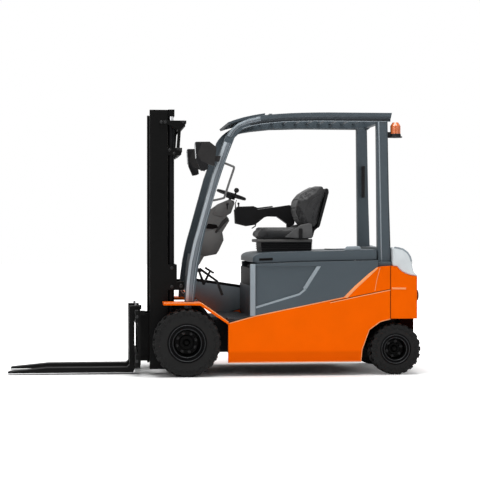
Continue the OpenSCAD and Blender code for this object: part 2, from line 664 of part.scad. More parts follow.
module outer_mast() color([0.08, 0.08, 0.08]) in_frame() {
    web_in = outer_half - rail_wall;
    behind = outer_rear_x - 3;
    difference() {
        union() {
            both() {
                box([outer_front_x, outer_in, mast_bottom], [outer_rear_x, outer_half, outer_top]);
                plate([[-233, 2220], [-233, 2251], [8, 2251], [8, 2226], [-40, 2168], [-75, 2168],
                    [behind, 2220]],
                    web_in, outer_half + 6);
                plate([[behind, 1942], [behind, 2010], [-29, 2010], [-29, 1972], [-50, 1942]], web_in,
                    outer_half);
                plate([[-67, 2170], [-39, 2170], [-50, 2008], [-79, 2008]], web_in, outer_half);
                plate([[behind, 749], [behind, 974], [-75, 974], [-75, 823], [-12, 823], [-12, 749]],
                    web_in, outer_half);
                plate([[behind, 200], [behind, 420], [40, 378], [82, 330], [82, 250], [40, 213]],
                    web_in, outer_half);
                bar_y(axle_r + 17, outer_in + 8, outer_half, 0, front_r, 96);
                box([-84, inner_half + 4, 749], [-75, web_in, 850]);
                box([-84, inner_half + 4, 749], [-12, tilt_y - 17, 823]);
                box([-118, chain_y - 12, 1960], [-60, chain_y + 12, 2000]);
            }
            box([-50, -web_in, 2200], [0, web_in, 2251]);
            box([-60, -web_in, 1950], [-35, web_in, 2010]);
            box([-84, -web_in, 850], [-75, web_in, 974]);
            box([outer_rear_x - 2, -web_in, mast_bottom], [-90, web_in, mast_bottom + 60]);
        }
        both() box([outer_front_x + rail_wall, outer_in - 1, mast_bottom - 1],
            [outer_rear_x - rail_wall, web_in, outer_top + 1]);
        both() bar_y(axle_r + shaft_gap, outer_in - 2, outer_half + 10, 0, front_r, 96);
    }
    both() bar_y(tilt_pin_r, inner_half + 6, outer_half, tilt_eye[0], tilt_eye[1], 64);
}

module lift_cylinders() color([0.10, 0.10, 0.10]) in_frame() {
    both() translate([lift_x, lift_y, mast_bottom + 60]) difference() {
        cylinder(r = lift_barrel_r, h = top_tie_z - 40 - mast_bottom - 60, $fn = 64);
        translate([0, 0, 40]) cylinder(r = lift_rod_r + rod_gap, h = mast_top, $fn = 64);
    }
}

module inner_mast() color([0.06, 0.06, 0.06]) in_frame() {
    web = (inner_half + inner_in) / 2;
    low = mast_bottom + 70;
    both() {
        box([inner_front_x, inner_in, low], [inner_front_x + rail_wall, inner_half, mast_top]);
        box([inner_rear_x - rail_wall, inner_in, low], [inner_rear_x, inner_half, mast_top]);
        box([inner_front_x, web - rail_wall / 2, low], [inner_rear_x, web + rail_wall / 2, mast_top]);
        bar_y(mast_roller_r, outer_in + 6, outer_half - rail_wall - 3, mast_roller_x, mast_bottom + 160,
            64);
        bar_y(20, web, outer_half - rail_wall - 4, mast_roller_x, mast_bottom + 160, 48);
        for (y = [chain_y - 25, chain_y + 15])
            box([sheave_at[0] - 25, y, sheave_at[1] - 25], [-120, y + 10, top_tie_z + 10]);
        bar_y(sheave_r, chain_y - 13, chain_y + 13, sheave_at[0], sheave_at[1], 64);
        bar_y(15, chain_y - 24, chain_y + 24, sheave_at[0], sheave_at[1], 48);
    }
    box([inner_rear_x - 2, -inner_half, top_tie_z], [-95, inner_half, mast_top]);
    box([outer_rear_x + 5, -outer_half + 22, top_tie_z], [-95, outer_half - 22, mast_top]);
    box([inner_rear_x - 2, -inner_half + 16, 1150], [-132, inner_half - 16, 1230]);
    box([inner_rear_x - 2, -inner_half, low], [-154, inner_half, low + 80]);
}

module lift_rods() color([0.75, 0.76, 0.78]) in_frame() {
    both() translate([lift_x, lift_y, 160]) cylinder(r = lift_rod_r, h = top_tie_z - 160, $fn = 64);
}

module chains_front() color([0.30, 0.28, 0.25]) in_frame() {
    both() box([sheave_at[0] - sheave_r - chain_thick, chain_y - chain_width / 2, 400],
        [sheave_at[0] - sheave_r, chain_y + chain_width / 2, sheave_at[1]]);
}

module chains_rear() color([0.30, 0.28, 0.25]) in_frame() {
    near = chain_y - chain_width / 2;
    far = chain_y + chain_width / 2;
    both() {
        box([sheave_at[0] + sheave_r, near, 400], [sheave_at[0] + sheave_r + chain_thick, far,
            sheave_at[1]]);
        intersection() {
            difference() {
                bar_y(sheave_r + chain_thick, near, far, sheave_at[0], sheave_at[1], 64);
                bar_y(sheave_r, near - 1, far + 1, sheave_at[0], sheave_at[1], 64);
            }
            box([sheave_at[0] - 110, 0, sheave_at[1]], [sheave_at[0] + 90, 300, 2400]);
        }
    }
}

module carriage() color([0.07, 0.07, 0.07]) in_frame() {
    plate_far = inner_in - 8;
    plate_near = plate_far - 20;
    box([bar_front, -carriage_half_width, 470], [bar_back, carriage_half_width, fork_top - 28 - fork_gap]);
    box([bar_front, -carriage_half_width, 80], [bar_back, carriage_half_width, 190]);
    both() {
        box([bar_back, plate_near, 112], [-185, plate_far, 534]);
        for (z = [180, 460])
            bar_y(carriage_roller_r, plate_far, inner_in + 20, carriage_roller_x, z, 64);
        box([bar_back, chain_y - 12, 340], [sheave_at[0] - sheave_r + 6, chain_y + 12, 400]);
        box([bar_back, chain_y - 12, 390], [bar_back + 30, chain_y + 12, 440]);
        box([bar_back, carriage_half_width - 60, 100], [bar_back + 20, carriage_half_width - 30, 560]);
        box([bar_back, carriage_half_width - 50, 535], [bar_back + 56, carriage_half_width - 30, 576]);
        box([bar_back, 100, 470], [bar_back + 40, plate_near, 500]);
    }
    box([bar_back, -plate_near - 2, 430], [bar_back + 30, plate_near + 2, 500]);
}

module fork() color([0.09, 0.09, 0.09]) in_frame() {
    hook_in = bar_back + fork_gap;
    heel = 30;
    translate([0, fork_width / 2, 0]) {
        plate([[fork_front_x, fork_top], [fork_back_x, fork_top], [fork_back_x, fork_bottom + heel],
            [fork_back_x - 12, fork_bottom], [fork_tip_x, fork_bottom], [fork_tip_x,
                fork_bottom + fork_tip_thick],
            [fork_tip_x + 340, fork_bottom + fork_thick], [fork_front_x - 20, fork_bottom + fork_thick],
            [fork_front_x, fork_bottom + fork_thick + 20]], -fork_width, 0);
        plate([[fork_back_x - 1, fork_top - 28], [fork_back_x - 1, fork_top], [hook_in + 22, fork_top],
            [hook_in + 22, fork_top - 55], [hook_in, fork_top - 55], [hook_in, fork_top - 28]],
                -fork_width, 0);
        plate([[fork_back_x - 1, 54], [fork_back_x - 1, 78], [hook_in, 78], [hook_in, 104],
            [hook_in + 22, 104], [hook_in + 22, 54]], -fork_width, 0);
    }
    translate([fork_back_x + 12, 0, fork_top - 1]) cylinder(r = 9, h = 19, $fn = 32);
}
module fork_left() translate([0, -fork_y, 0]) fork();
module fork_right() translate([0, fork_y, 0]) fork();

module tilt_barrel() color([0.10, 0.10, 0.10]) in_frame() {
    translate([tilt_foot[0], tilt_y, tilt_foot[1]]) rotate([0, tilt_angle, 0]) {
        difference() {
            union() {
                rotate([90, 0, 0]) cylinder(r = 30, h = 50, center = true, $fn = 64);
                translate([0, 0, 26]) cylinder(r = tilt_barrel_r, h = 244, $fn = 64);
            }
            rotate([90, 0, 0]) cylinder(r = tilt_pin_r + shaft_gap, h = 90, center = true, $fn = 64);
            translate([0, 0, 60]) cylinder(r = tilt_rod_r + rod_gap, h = 300, $fn = 64);
        }
    }
}
module tilt_barrel_left() mirror([0, 1, 0]) tilt_barrel();
module tilt_barrel_right() tilt_barrel();

module tilt_rod() color([0.70, 0.71, 0.73]) in_frame() {
    translate([tilt_foot[0], tilt_y, tilt_foot[1]]) rotate([0, tilt_angle, 0]) {
        difference() {
            union() {
                translate([0, 0, 130]) cylinder(r = tilt_rod_r, h = tilt_length - 150, $fn = 64);
                translate([0, 0, tilt_length]) rotate([90, 0, 0]) cylinder(r = 26, h = 31, center = true,
                    $fn = 64);
            }
            translate([0, 0, tilt_length]) rotate([90, 0, 0])
                cylinder(r = tilt_pin_r + eye_play, h = 60, center = true, $fn = 64);
        }
    }
}
module tilt_rod_left() mirror([0, 1, 0]) tilt_rod();
module tilt_rod_right() tilt_rod();

chassis_frame();
chassis_sides();
floor_plate();
side_panel_left();
side_panel_right();
side_cover_left();
side_cover_right();
fenders();
front_cowl();
side_wall_right();
battery_block();
counterweight();
rear_shoulders();
front_pillars();
rear_pillars();
roof_frame();
roof_grille();
steering_column();
steering_wheel();
pedals();
hood_lid();
rear_deck();
seat_base();
seat_cushion();
seat_back();
armrest_console();
front_lamps();
beacon();
grips();
drive_axle();
steer_axle();
knuckle_left();
knuckle_right();
front_tyre_left();
front_tyre_right();
front_rim_left();
front_rim_right();
rear_tyre_left();
rear_tyre_right();
rear_rim_left();
rear_rim_right();
outer_mast();
lift_cylinders();
inner_mast();
lift_rods();
chains_front();
chains_rear();
carriage();
fork_left();
fork_right();
tilt_barrel_left();
tilt_barrel_right();
tilt_rod_left();
tilt_rod_right();
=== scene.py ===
"""Counterbalance forklift: finishes, soft seat, wheels' fittings, mast fittings and trim over the solid parts."""
import json
import math

import bmesh
import bpy
from mathutils import Matrix, Vector

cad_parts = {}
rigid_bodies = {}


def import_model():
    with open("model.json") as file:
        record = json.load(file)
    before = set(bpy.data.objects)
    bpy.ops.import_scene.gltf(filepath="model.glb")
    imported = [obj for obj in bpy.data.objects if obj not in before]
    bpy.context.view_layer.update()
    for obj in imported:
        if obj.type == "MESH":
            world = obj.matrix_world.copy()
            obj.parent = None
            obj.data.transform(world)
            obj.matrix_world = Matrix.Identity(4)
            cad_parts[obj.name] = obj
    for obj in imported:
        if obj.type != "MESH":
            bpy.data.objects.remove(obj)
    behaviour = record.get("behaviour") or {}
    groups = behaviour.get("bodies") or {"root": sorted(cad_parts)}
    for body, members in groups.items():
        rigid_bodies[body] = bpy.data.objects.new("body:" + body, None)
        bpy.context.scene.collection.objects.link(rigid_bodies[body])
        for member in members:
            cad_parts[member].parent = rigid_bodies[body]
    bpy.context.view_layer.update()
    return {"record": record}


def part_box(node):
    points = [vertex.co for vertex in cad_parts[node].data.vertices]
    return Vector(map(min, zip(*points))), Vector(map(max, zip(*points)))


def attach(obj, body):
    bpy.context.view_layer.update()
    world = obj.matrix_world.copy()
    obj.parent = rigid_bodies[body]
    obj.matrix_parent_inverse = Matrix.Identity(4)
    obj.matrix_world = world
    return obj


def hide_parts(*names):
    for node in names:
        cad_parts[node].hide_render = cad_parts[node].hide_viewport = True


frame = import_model()

MM = 0.001


def middle(node):
    low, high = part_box(node)
    return (Vector(low) + Vector(high)) / 2


# Places are counted in millimetres from the front axle's middle at floor level
axle_x = middle("front_tyre_left").x
wheelbase = (middle("rear_tyre_left").x - axle_x) / MM
front_r = middle("front_tyre_left").z / MM
rear_r = middle("rear_tyre_left").z / MM
front_wheel_y = abs(middle("front_tyre_left").y) / MM
rear_wheel_y = abs(middle("rear_tyre_left").y) / MM
body_half = abs(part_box("side_panel_left")[0][1]) / MM
mast_half = 360.0
guard_half = 520.0
guard_in = 450.0
fender_half = 612.0
cover_front = {"left": 552.0, "right": 598.0}
SIDES = (("left", -1), ("right", 1))


def at(x, y, z):
    return Vector((axle_x + x * MM, y * MM, z * MM))


# Camera: a long lens a little ahead of the truck's middle, level with the hood
camera_place = at(-783.7, -12995.0, 1281.1)
camera_heading = 5.74
camera_pitch = -0.4
photo_pixels = 480
focal_pixels = 1427.0

cam_data = bpy.data.cameras.new("camera")
cam_data.sensor_width = 36.0
cam_data.lens = focal_pixels / photo_pixels * cam_data.sensor_width
cam_data.clip_end = 100.0
camera = bpy.data.objects.new("camera", cam_data)
bpy.context.collection.objects.link(camera)
camera.location = camera_place
camera.rotation_euler = (math.radians(90.0 + camera_pitch), 0.0, math.radians(-camera_heading))
bpy.context.scene.camera = camera
bpy.context.scene.view_settings.view_transform = "Standard"


# Materials

def set_inputs(node, **values):
    """Sets a node's sockets to constant values; a socket's name has underscores for its spaces here."""
    for name, value in values.items():
        node.inputs[name.replace("_", " ")].default_value = value


class Look:
    """A material in the making: its nodes, links, object coordinates and shader."""

    def __init__(self, name):
        self.material = bpy.data.materials.new(name)
        self.material.use_nodes = True
        self.nodes = self.material.node_tree.nodes
        self.links = self.material.node_tree.links
        self.nodes.clear()
        output = self.nodes.new("ShaderNodeOutputMaterial")
        self.shader = self.nodes.new("ShaderNodeBsdfPrincipled")
        self.links.new(self.shader.outputs["BSDF"], output.inputs["Surface"])
        self.coords = self.nodes.new("ShaderNodeTexCoord").outputs["Object"]

    def node(self, kind, feed, socket, **values):
        """Adds a node, feeds one of its sockets and sets others to constant values."""
        made = self.nodes.new("ShaderNode" + kind)
        self.links.new(feed, made.inputs[socket])
        set_inputs(made, **values)
        return made

    def noise(self, scale, detail=3.0, rough=0.5):
        texture = self.node("TexNoise", self.coords, "Vector", Scale=scale, Detail=detail, Roughness=rough)
        return texture.outputs["Fac"]

    def ramp(self, value, low, high, at_low=0.3, at_high=0.7):
        blend = self.node("ValToRGB", value, "Fac")
        for element, place_on, colour in zip(blend.color_ramp.elements, (at_low, at_high), (low, high)):
            element.position = place_on
            element.color = (*colour, 1.0)
        return blend.outputs["Color"]

    def spread(self, value, **limits):
        return self.node("MapRange", value, "Value", **limits).outputs["Result"]

    def by_height(self, painted_shade_below, above, height, spread):
        """One colour under a height above the floor and another over it, both in metres."""
        split = self.node("SeparateXYZ", self.coords, "Vector")
        rise = self.spread(split.outputs["Z"], From_Min=height - spread, From_Max=height + spread)
        blend = self.nodes.new("ShaderNodeMix")
        blend.data_type = "RGBA"
        self.links.new(rise, blend.inputs["Factor"])
        colours = {s.name: s for s in blend.inputs if s.type == "RGBA"}
        colours["A"].default_value = (*painted_shade_below, 1.0)
        self.links.new(above, colours["B"])
        return [s for s in blend.outputs if s.type == "RGBA"][0]

    def bump(self, value, strength, depth, edge=0.0):
        bump = self.node("Bump", value, "Height", Strength=strength, Distance=depth)
        if edge:
            rounded = self.nodes.new("ShaderNodeBevel")
            rounded.samples = 4
            rounded.inputs["Radius"].default_value = edge
            self.links.new(rounded.outputs["Normal"], bump.inputs["Normal"])
        return bump.outputs["Normal"]

    def finish(self, colour, roughness, normal, **values):
        """Feeds the shader and sets its other sockets; None leaves a socket to its value."""
        for source, socket in ((colour, "Base Color"), (roughness, "Roughness"), (normal, "Normal")):
            if source is not None:
                self.links.new(source, self.shader.inputs[socket])
        set_inputs(self.shader, **values)
        return self.material


def shade(colour, factor):
    return tuple(min(1.0, c * factor) for c in colour)


def paint(name, colour, rough, coat=0.0, edge=0.004, specular=0.3, painted_shade_below=None, gloss=(1.0, 1.0, 1.0)):
    """Sprayed paint with a faint orange peel; the lowest part may take a darker colour as painted shade."""
    look = Look(name)
    tint = look.ramp(look.noise(3.0, 4.0), shade(colour, 0.95), shade(colour, 1.04))
    if painted_shade_below:
        tint = look.by_height(painted_shade_below[0], tint, painted_shade_below[1], 0.012)
    dust = look.noise(22.0, 6.0, 0.65)
    return look.finish(tint, look.spread(dust, To_Min=rough - 0.05, To_Max=rough + 0.07),
                       look.bump(look.noise(260.0, 2.0), 0.10, 0.0004, edge), Coat_Weight=coat,
                       Coat_Roughness=0.12, Specular_IOR_Level=specular, Specular_Tint=(*gloss, 1.0))


def moulded(name, colour, rough, grain_scale=900.0, grain_depth=0.0004, edge=0.003, specular=0.4):
    look = Look(name)
    grain = look.noise(grain_scale, 3.0, 0.6)
    return look.finish(look.ramp(look.noise(5.0, 3.0), shade(colour, 0.92), shade(colour, 1.1)),
                       look.spread(grain, To_Min=rough - 0.06, To_Max=rough + 0.08),
                       look.bump(grain, 0.3, grain_depth, edge), Specular_IOR_Level=specular)


def rubber(name, colour):
    look = Look(name)
    dust = look.noise(9.0, 6.0, 0.7)
    return look.finish(look.ramp(dust, shade(colour, 0.8), shade(colour, 1.7)),
                       look.spread(dust, To_Min=0.55, To_Max=0.8),
                       look.bump(look.noise(420.0, 4.0, 0.6), 0.3, 0.0006, 0.004), Specular_IOR_Level=0.25)


def steel(name, colour, rough):
    look = Look(name)
    stretch = look.node("Mapping", look.coords, "Vector", Scale=(60.0, 60.0, 2.0))
    streak = look.node("TexNoise", stretch.outputs["Vector"], "Vector", Scale=4.0, Detail=5.0).outputs["Fac"]
    return look.finish(look.ramp(streak, shade(colour, 0.85), shade(colour, 1.1)),
                       look.spread(streak, To_Min=rough - 0.05, To_Max=rough + 0.08), None, Metallic=1.0)


def chain_links(name, colour):
    """Leaf chain: rows of plates with dark gaps, one row each half inch."""
    look = Look(name)
    rows = look.node("TexWave", look.coords, "Vector", Scale=12.4, Distortion=0.0)
    rows.bands_direction = "Z"
    leaves = look.node("TexWave", look.coords, "Vector", Scale=70.0)
    leaves.bands_direction = "Y"
    row = rows.outputs["Fac"]
    plates = look.node("Bump", leaves.outputs["Fac"], "Height", Strength=0.6, Distance=0.002)
    look.links.new(look.bump(row, 0.8, 0.003), plates.inputs["Normal"])
    return look.finish(look.ramp(row, shade(colour, 0.35), shade(colour, 1.1), 0.1, 0.5), None,
                       plates.outputs["Normal"], Metallic=0.8, Roughness=0.42)


def lens(name, colour, glow=0.0):
    look = Look(name)
    cells = look.node("TexVoronoi", look.coords, "Vector", Scale=90.0).outputs["Distance"]
    return look.finish(look.ramp(cells, shade(colour, 0.85), shade(colour, 1.1)), None,
                       look.bump(cells, 0.3, 0.002), Roughness=0.14, Coat_Weight=0.6,
                       Emission_Color=(*colour, 1.0), Emission_Strength=glow)


def leather(name, colour):
    look = Look(name)
    cells = look.node("TexVoronoi", look.coords, "Vector", Scale=420.0).outputs["Distance"]
    cloud = look.noise(12.0, 4.0)
    return look.finish(look.ramp(cloud, shade(colour, 0.85), shade(colour, 1.25)),
                       look.spread(cloud, To_Min=0.42, To_Max=0.58), look.bump(cells, 0.35, 0.0008),
                       Sheen_Weight=0.1, Specular_IOR_Level=0.35)


orange = (0.84, 0.112, 0.0005)
orange_gloss = (1.0, 0.30, 0.02)
# Body orange, darker under 215 mm as painted shade where the panels turn in at the bottom
orange_paint = paint("orange_paint", orange, 0.34, edge=0.006, gloss=orange_gloss,
                     painted_shade_below=((0.70, 0.088, 0.0004), 0.215))
# Counterweight orange, near black under 492 mm as painted shade on its lower block beneath the overhang
weight_paint = paint("counterweight_orange_paint", orange, 0.36, edge=0.014, gloss=orange_gloss,
                     painted_shade_below=((0.020, 0.005, 0.003), 0.492))
fender_paint = paint("fender_orange_paint", orange, 0.36, edge=0.004, gloss=orange_gloss)
# Pale orange for painted highlights along edges, creases and the ledge of the body
orange_highlight_paint = paint("orange_edge_paint", (0.88, 0.33, 0.12), 0.30)
orange_deep = paint("orange_shade_paint", (0.55, 0.060, 0.001), 0.4, gloss=orange_gloss)
guard_paint = paint("guard_grey_paint", (0.060, 0.078, 0.092), 0.36, specular=0.35, edge=0.008)
# Lit and shaded copies of the guard's grey: painted shade, painted half-light and painted highlights along the rounded
# pillars and rails; the pale one also serves as a plain pale grey
guard_dark = paint("guard_shade_paint", (0.012, 0.016, 0.020), 0.40)
guard_painted_shade = paint("guard_low_paint", (0.036, 0.046, 0.055), 0.38)
guard_painted_half_light = paint("guard_middle_paint", (0.135, 0.155, 0.175), 0.36)
guard_pale_and_highlight = paint("guard_edge_paint", (0.26, 0.30, 0.33), 0.34)
guard_painted_highlight = paint("guard_shine_paint", (0.36, 0.40, 0.43), 0.30)
frame_paint = paint("frame_black_paint", (0.006, 0.006, 0.007), 0.45, specular=0.12)
mast_paint = paint("mast_black_paint", (0.0035, 0.0035, 0.0035), 0.42, specular=0.11, edge=0.004)
fork_paint = paint("fork_black_paint", (0.0045, 0.0045, 0.0045), 0.45, specular=0.10)
rim_paint = paint("rim_black_paint", (0.0015, 0.0015, 0.0015), 0.32, specular=0.07, edge=0.003)
flange_and_bead_shade_paint = paint("rim_flange_paint", (0.0015, 0.0015, 0.0018), 0.40, specular=0.05)
bead_highlight_paint = paint("rim_bead_paint", (0.030, 0.032, 0.034), 0.30)
battery_paint = paint("battery_black_paint", (0.012, 0.012, 0.014), 0.5)
# Pale grey of the rear shoulder cap: grey plastic, lightened as a painted reflection on its rounded top
shoulder_plastic_and_painted_sheen = moulded("shoulder_grey_plastic", (0.60, 0.64, 0.66), 0.30, 500.0, 0.0002, edge=0.02)
black_plastic = moulded("black_plastic", (0.010, 0.010, 0.011), 0.48, specular=0.18)
dark_plastic = moulded("dark_grey_plastic", (0.11, 0.108, 0.106), 0.5, specular=0.2, edge=0.01)
lamp_plastic = moulded("lamp_grey_plastic", (0.024, 0.023, 0.023), 0.45, specular=0.2)
grip_plastic = moulded("grip_grey_plastic", (0.12, 0.12, 0.12), 0.45, specular=0.3)
cowl_plastic = moulded("cowl_grey_plastic", (0.060, 0.074, 0.086), 0.45, specular=0.2, edge=0.006)
# Pale grey lining: the wall's grey lightened as painted light on a wall in shade
lining_painted_light = moulded("lining_grey_plastic", (0.23, 0.27, 0.30), 0.45, specular=0.2)
# Black for the panels' seams and the column's band, and as painted shade in the carriage's notches and the lid's
# handle slots
seam_black = moulded("seam_black", (0.004, 0.003, 0.003), 0.7, specular=0.05)
screen_black = moulded("screen_black", (0.004, 0.005, 0.006), 0.12, 200.0, 0.0)
mat_rubber = rubber("mat_rubber", (0.020, 0.023, 0.026))
tyre_rubber = rubber("tyre_rubber", (0.005, 0.005, 0.005))
hose_rubber = rubber("hose_rubber", (0.010, 0.010, 0.011))
chrome_steel = steel("chrome_steel", (0.75, 0.76, 0.78), 0.12)
chain_steel = chain_links("chain_steel", (0.14, 0.13, 0.115))
bolt_steel = steel("bolt_steel", (0.45, 0.45, 0.46), 0.32)
bolt_dark = paint("bolt_black_paint", (0.014, 0.014, 0.015), 0.34, specular=0.4)
amber_lens = lens("amber_lens", (0.66, 0.15, 0.035))
clear_lens = lens("clear_lens", (0.80, 0.82, 0.84))
red_lens = lens("red_lens", (0.50, 0.015, 0.008))
seat_vinyl = leather("seat_vinyl", (0.016, 0.016, 0.017))
bolster_vinyl = leather("bolster_grey_vinyl", (0.026, 0.026, 0.027))
hip_vinyl = leather("hip_grey_vinyl", (0.085, 0.085, 0.086))

finish_of_slot = {
    "frame_black": frame_paint, "fork_black": fork_paint, "floor_mat": mat_rubber, "body_orange": orange_paint,
    "guard_grey": guard_paint, "battery_black": battery_paint, "shoulder_grey": shoulder_plastic_and_painted_sheen,
    "plastic_black": black_plastic, "seat_black": seat_vinyl, "seat_frame": black_plastic,
    "lamp_grey": lamp_plastic, "amber": amber_lens, "tyre": tyre_rubber, "rim_black": rim_paint,
    "rod_chrome": chrome_steel, "chain_steel": chain_steel,
}
slot_of_node = {part["node"]: part["material_slot"] for part in frame["record"]["subparts"]}
finish_of_node = {
    "outer_mast": mast_paint, "inner_mast": mast_paint, "carriage": mast_paint,
    "steering_column": dark_plastic, "counterweight": weight_paint, "fenders": fender_paint,
    "front_cowl": cowl_plastic, "side_wall_right": guard_paint,
}


def finish_node(name, material):
    for solid in bpy.data.objects:
        if solid.name == name and solid.type == "MESH":
            solid.data.materials.clear()
            solid.data.materials.append(material)


for node_name, slot_name in slot_of_node.items():
    finish_node(node_name, finish_of_node.get(node_name, finish_of_slot[slot_name]))


# Making and placing pieces

def outline_solid(points, near, far):
    """A solid with an outline in the X and Z plane, between two distances from the centre plane."""
    bm = bmesh.new()
    face = bm.faces.new([bm.verts.new(at(x, near, z)) for x, z in points])
    grown = bmesh.ops.extrude_face_region(bm, geom=[face])
    moved = [part for part in grown["geom"] if isinstance(part, bmesh.types.BMVert)]
    bmesh.ops.translate(bm, verts=moved, vec=(0.0, (far - near) * MM, 0.0))
    bmesh.ops.recalc_face_normals(bm, faces=bm.faces)
    return bm


def add_block(bm, low, high):
    made = bmesh.ops.create_cube(bm, size=1.0)
    size = Vector(high) - Vector(low)
    bmesh.ops.scale(bm, verts=made["verts"], vec=size * MM)
    bmesh.ops.translate(bm, verts=made["verts"], vec=at(*((Vector(low) + Vector(high)) / 2)))


def add_rod(bm, start, end, radius, sides=16, end_radius=None):
    """A round bar between two points, closed at both ends."""
    first, last = at(*start), at(*end)
    along = last - first
    made = bmesh.ops.create_cone(
        bm, cap_ends=True, segments=sides, radius1=radius * MM,
        radius2=(radius if end_radius is None else end_radius) * MM, depth=along.length)
    turn = Vector((0.0, 0.0, 1.0)).rotation_difference(along).to_matrix().to_4x4()
    bmesh.ops.transform(bm, matrix=Matrix.Translation((first + last) / 2) @ turn, verts=made["verts"])


def add_turned(bm, profile, centre, along, steps=48):
    """A turned shape: the profile gives radius and distance along the axis from the centre."""
    turn = Vector((0.0, 0.0, 1.0)).rotation_difference(Vector(along).normalized()).to_matrix().to_4x4()
    before = set(bm.verts)
    ring = [bm.verts.new((r * MM, 0.0, z * MM)) for r, z in profile]
    lines = [bm.edges.new(pair) for pair in zip(ring, ring[1:])]
    bmesh.ops.spin(
        bm, geom=ring + lines, cent=(0, 0, 0), axis=(0, 0, 1), angle=math.tau, steps=steps, use_merge=True)
    bmesh.ops.remove_doubles(bm, verts=[v for v in bm.verts if v not in before], dist=1e-6)
    bmesh.ops.transform(bm, matrix=Matrix.Translation(at(*centre)) @ turn,
                        verts=[v for v in bm.verts if v not in before])


def bow(start, towards, end, steps):
    """Points of a curve that leaves its start towards a point and comes from it to its end."""
    shares = [step / steps for step in range(1, steps + 1)]
    return [tuple((1 - t) ** 2 * a + 2 * t * (1 - t) * b + t * t * c for a, b, c in zip(start, towards, end))
            for t in shares]


def soften(bm, width, segments=2, sharper=25.0):
    """Rounds every edge that is sharper than the angle."""
    edges = [e for e in bm.edges if len(e.link_faces) == 2 and e.calc_face_angle(0.0) > math.radians(sharper)]
    bmesh.ops.bevel(bm, geom=edges, offset=width * MM, offset_type="OFFSET", segments=segments, profile=0.5,
                    affect="EDGES", clamp_overlap=True, material=-1)


def set_out(name, mesh, body, material):
    """Gives a mesh its material and lets it ride on its body as a piece."""
    mesh.materials.append(material)
    piece = bpy.data.objects.new(name, mesh)
    bpy.context.collection.objects.link(piece)
    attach(piece, body)
    return piece


def place(bm, name, body, material, smooth=35.0):
    """Makes the finished piece, smooth but for its edges sharper than an angle in degrees."""
    bmesh.ops.recalc_face_normals(bm, faces=bm.faces)
    for face in bm.faces:
        face.smooth = True
    for line in bm.edges:
        line.smooth = line.calc_face_angle(0.0) < math.radians(smooth)
    mesh = bpy.data.meshes.new(name)
    bm.to_mesh(mesh)
    bm.free()
    return set_out(name, mesh, body, material)


def plate_piece(name, outline, near, far, round_off, segments, body, material, smooth=35.0):
    """A piece with an outline in the X and Z plane and rounded edges, between two distances from the centre plane."""
    bm = outline_solid(outline, near, far)
    if round_off:
        soften(bm, round_off, segments)
    return place(bm, name, body, material, smooth)


def boxes_piece(name, boxes, round_off, segments, body, material):
    """A piece of one or more boxes with rounded edges, each box given by two opposite corners."""
    bm = bmesh.new()
    for low, high in boxes:
        add_block(bm, low, high)
    if round_off:
        soften(bm, round_off, segments)
    return place(bm, name, body, material)


def turned_piece(name, profile, centre, along, steps, body, material):
    bm = bmesh.new()
    add_turned(bm, profile, centre, along, steps)
    return place(bm, name, body, material)


def tube(name, route, radius, body, material):
    """A hose or bent bar of round section along a smooth curve by the points of its route."""
    curve = bpy.data.curves.new(name, "CURVE")
    curve.dimensions = "3D"
    curve.bevel_depth = radius * MM
    curve.bevel_resolution = 3
    curve.resolution_u = 8
    curve.use_fill_caps = True
    line = curve.splines.new("NURBS")
    line.order_u = 3
    line.use_endpoint_u = True
    line.points.add(len(route) - 1)
    for point, spot in zip(line.points, route):
        point.co = (*at(*spot), 1.0)
    wire = bpy.data.objects.new(name + "_line", curve)
    bpy.context.collection.objects.link(wire)
    mesh = bpy.data.meshes.new_from_object(wire)
    bpy.data.objects.remove(wire)
    mesh.name = name
    mesh.materials.clear()
    for face in mesh.polygons:
        face.use_smooth = True
    return set_out(name, mesh, body, material)


# Soft pieces

mesh_step = 6.0
puff_pressure = 4.0
puff_frames = 20


def puffed(bm, name, material, reach):
    """A padded form: fine even mesh, blown up a little by cloth pressure, with its swelling limited."""
    mesh = bpy.data.meshes.new(name)
    bm.to_mesh(mesh)
    bm.free()
    pad = bpy.data.objects.new(name, mesh)
    bpy.context.collection.objects.link(pad)
    evenly = pad.modifiers.new("evenly", "REMESH")
    evenly.mode = "VOXEL"
    evenly.voxel_size = mesh_step * MM
    graph = bpy.context.evaluated_depsgraph_get()
    start_mesh = bpy.data.meshes.new_from_object(pad.evaluated_get(graph))
    pad.modifiers.clear()
    pad.data = start_mesh
    start = [v.co.copy() for v in start_mesh.vertices]
    cloth = pad.modifiers.new("cloth", "CLOTH")
    cloth.settings.use_pressure = True
    cloth.settings.uniform_pressure_force = puff_pressure
    cloth.settings.effector_weights.gravity = 0.0
    cloth.settings.quality = 5
    cloth.settings.mass = 0.4
    scene = bpy.context.scene
    for step in range(1, puff_frames + 1):
        scene.frame_set(step)
    graph = bpy.context.evaluated_depsgraph_get()
    blown = bpy.data.meshes.new_from_object(pad.evaluated_get(graph))
    pad.modifiers.clear()
    pad.data = blown
    scene.frame_set(1)
    for vert, home in zip(blown.vertices, start):
        move = vert.co - home
        if move.length > reach * MM:
            vert.co = home + move.normalized() * reach * MM
    pad.data.materials.clear()
    pad.data.materials.append(material)
    for face in pad.data.polygons:
        face.use_smooth = True
    return pad


def press_seam(pad, distance_to_seam, width, depth, towards):
    """Sinks the surface along a seam; distance_to_seam gives how far a point lies from it."""
    inward = Vector(towards).normalized()
    pad.data.update()
    normals = [v.normal.copy() for v in pad.data.vertices]
    for vert, normal in zip(pad.data.vertices, normals):
        away = distance_to_seam(vert.co)
        if away < width * MM and normal.dot(inward) < -0.2:
            vert.co += inward * depth * MM * math.cos(away / (width * MM) * math.pi / 2) ** 2


# Wheels: nuts, hub caps, rim flanges reaching over the tyre beads in black as painted shade, rim beads in grey as
# painted highlight, and the lugs of the side walls

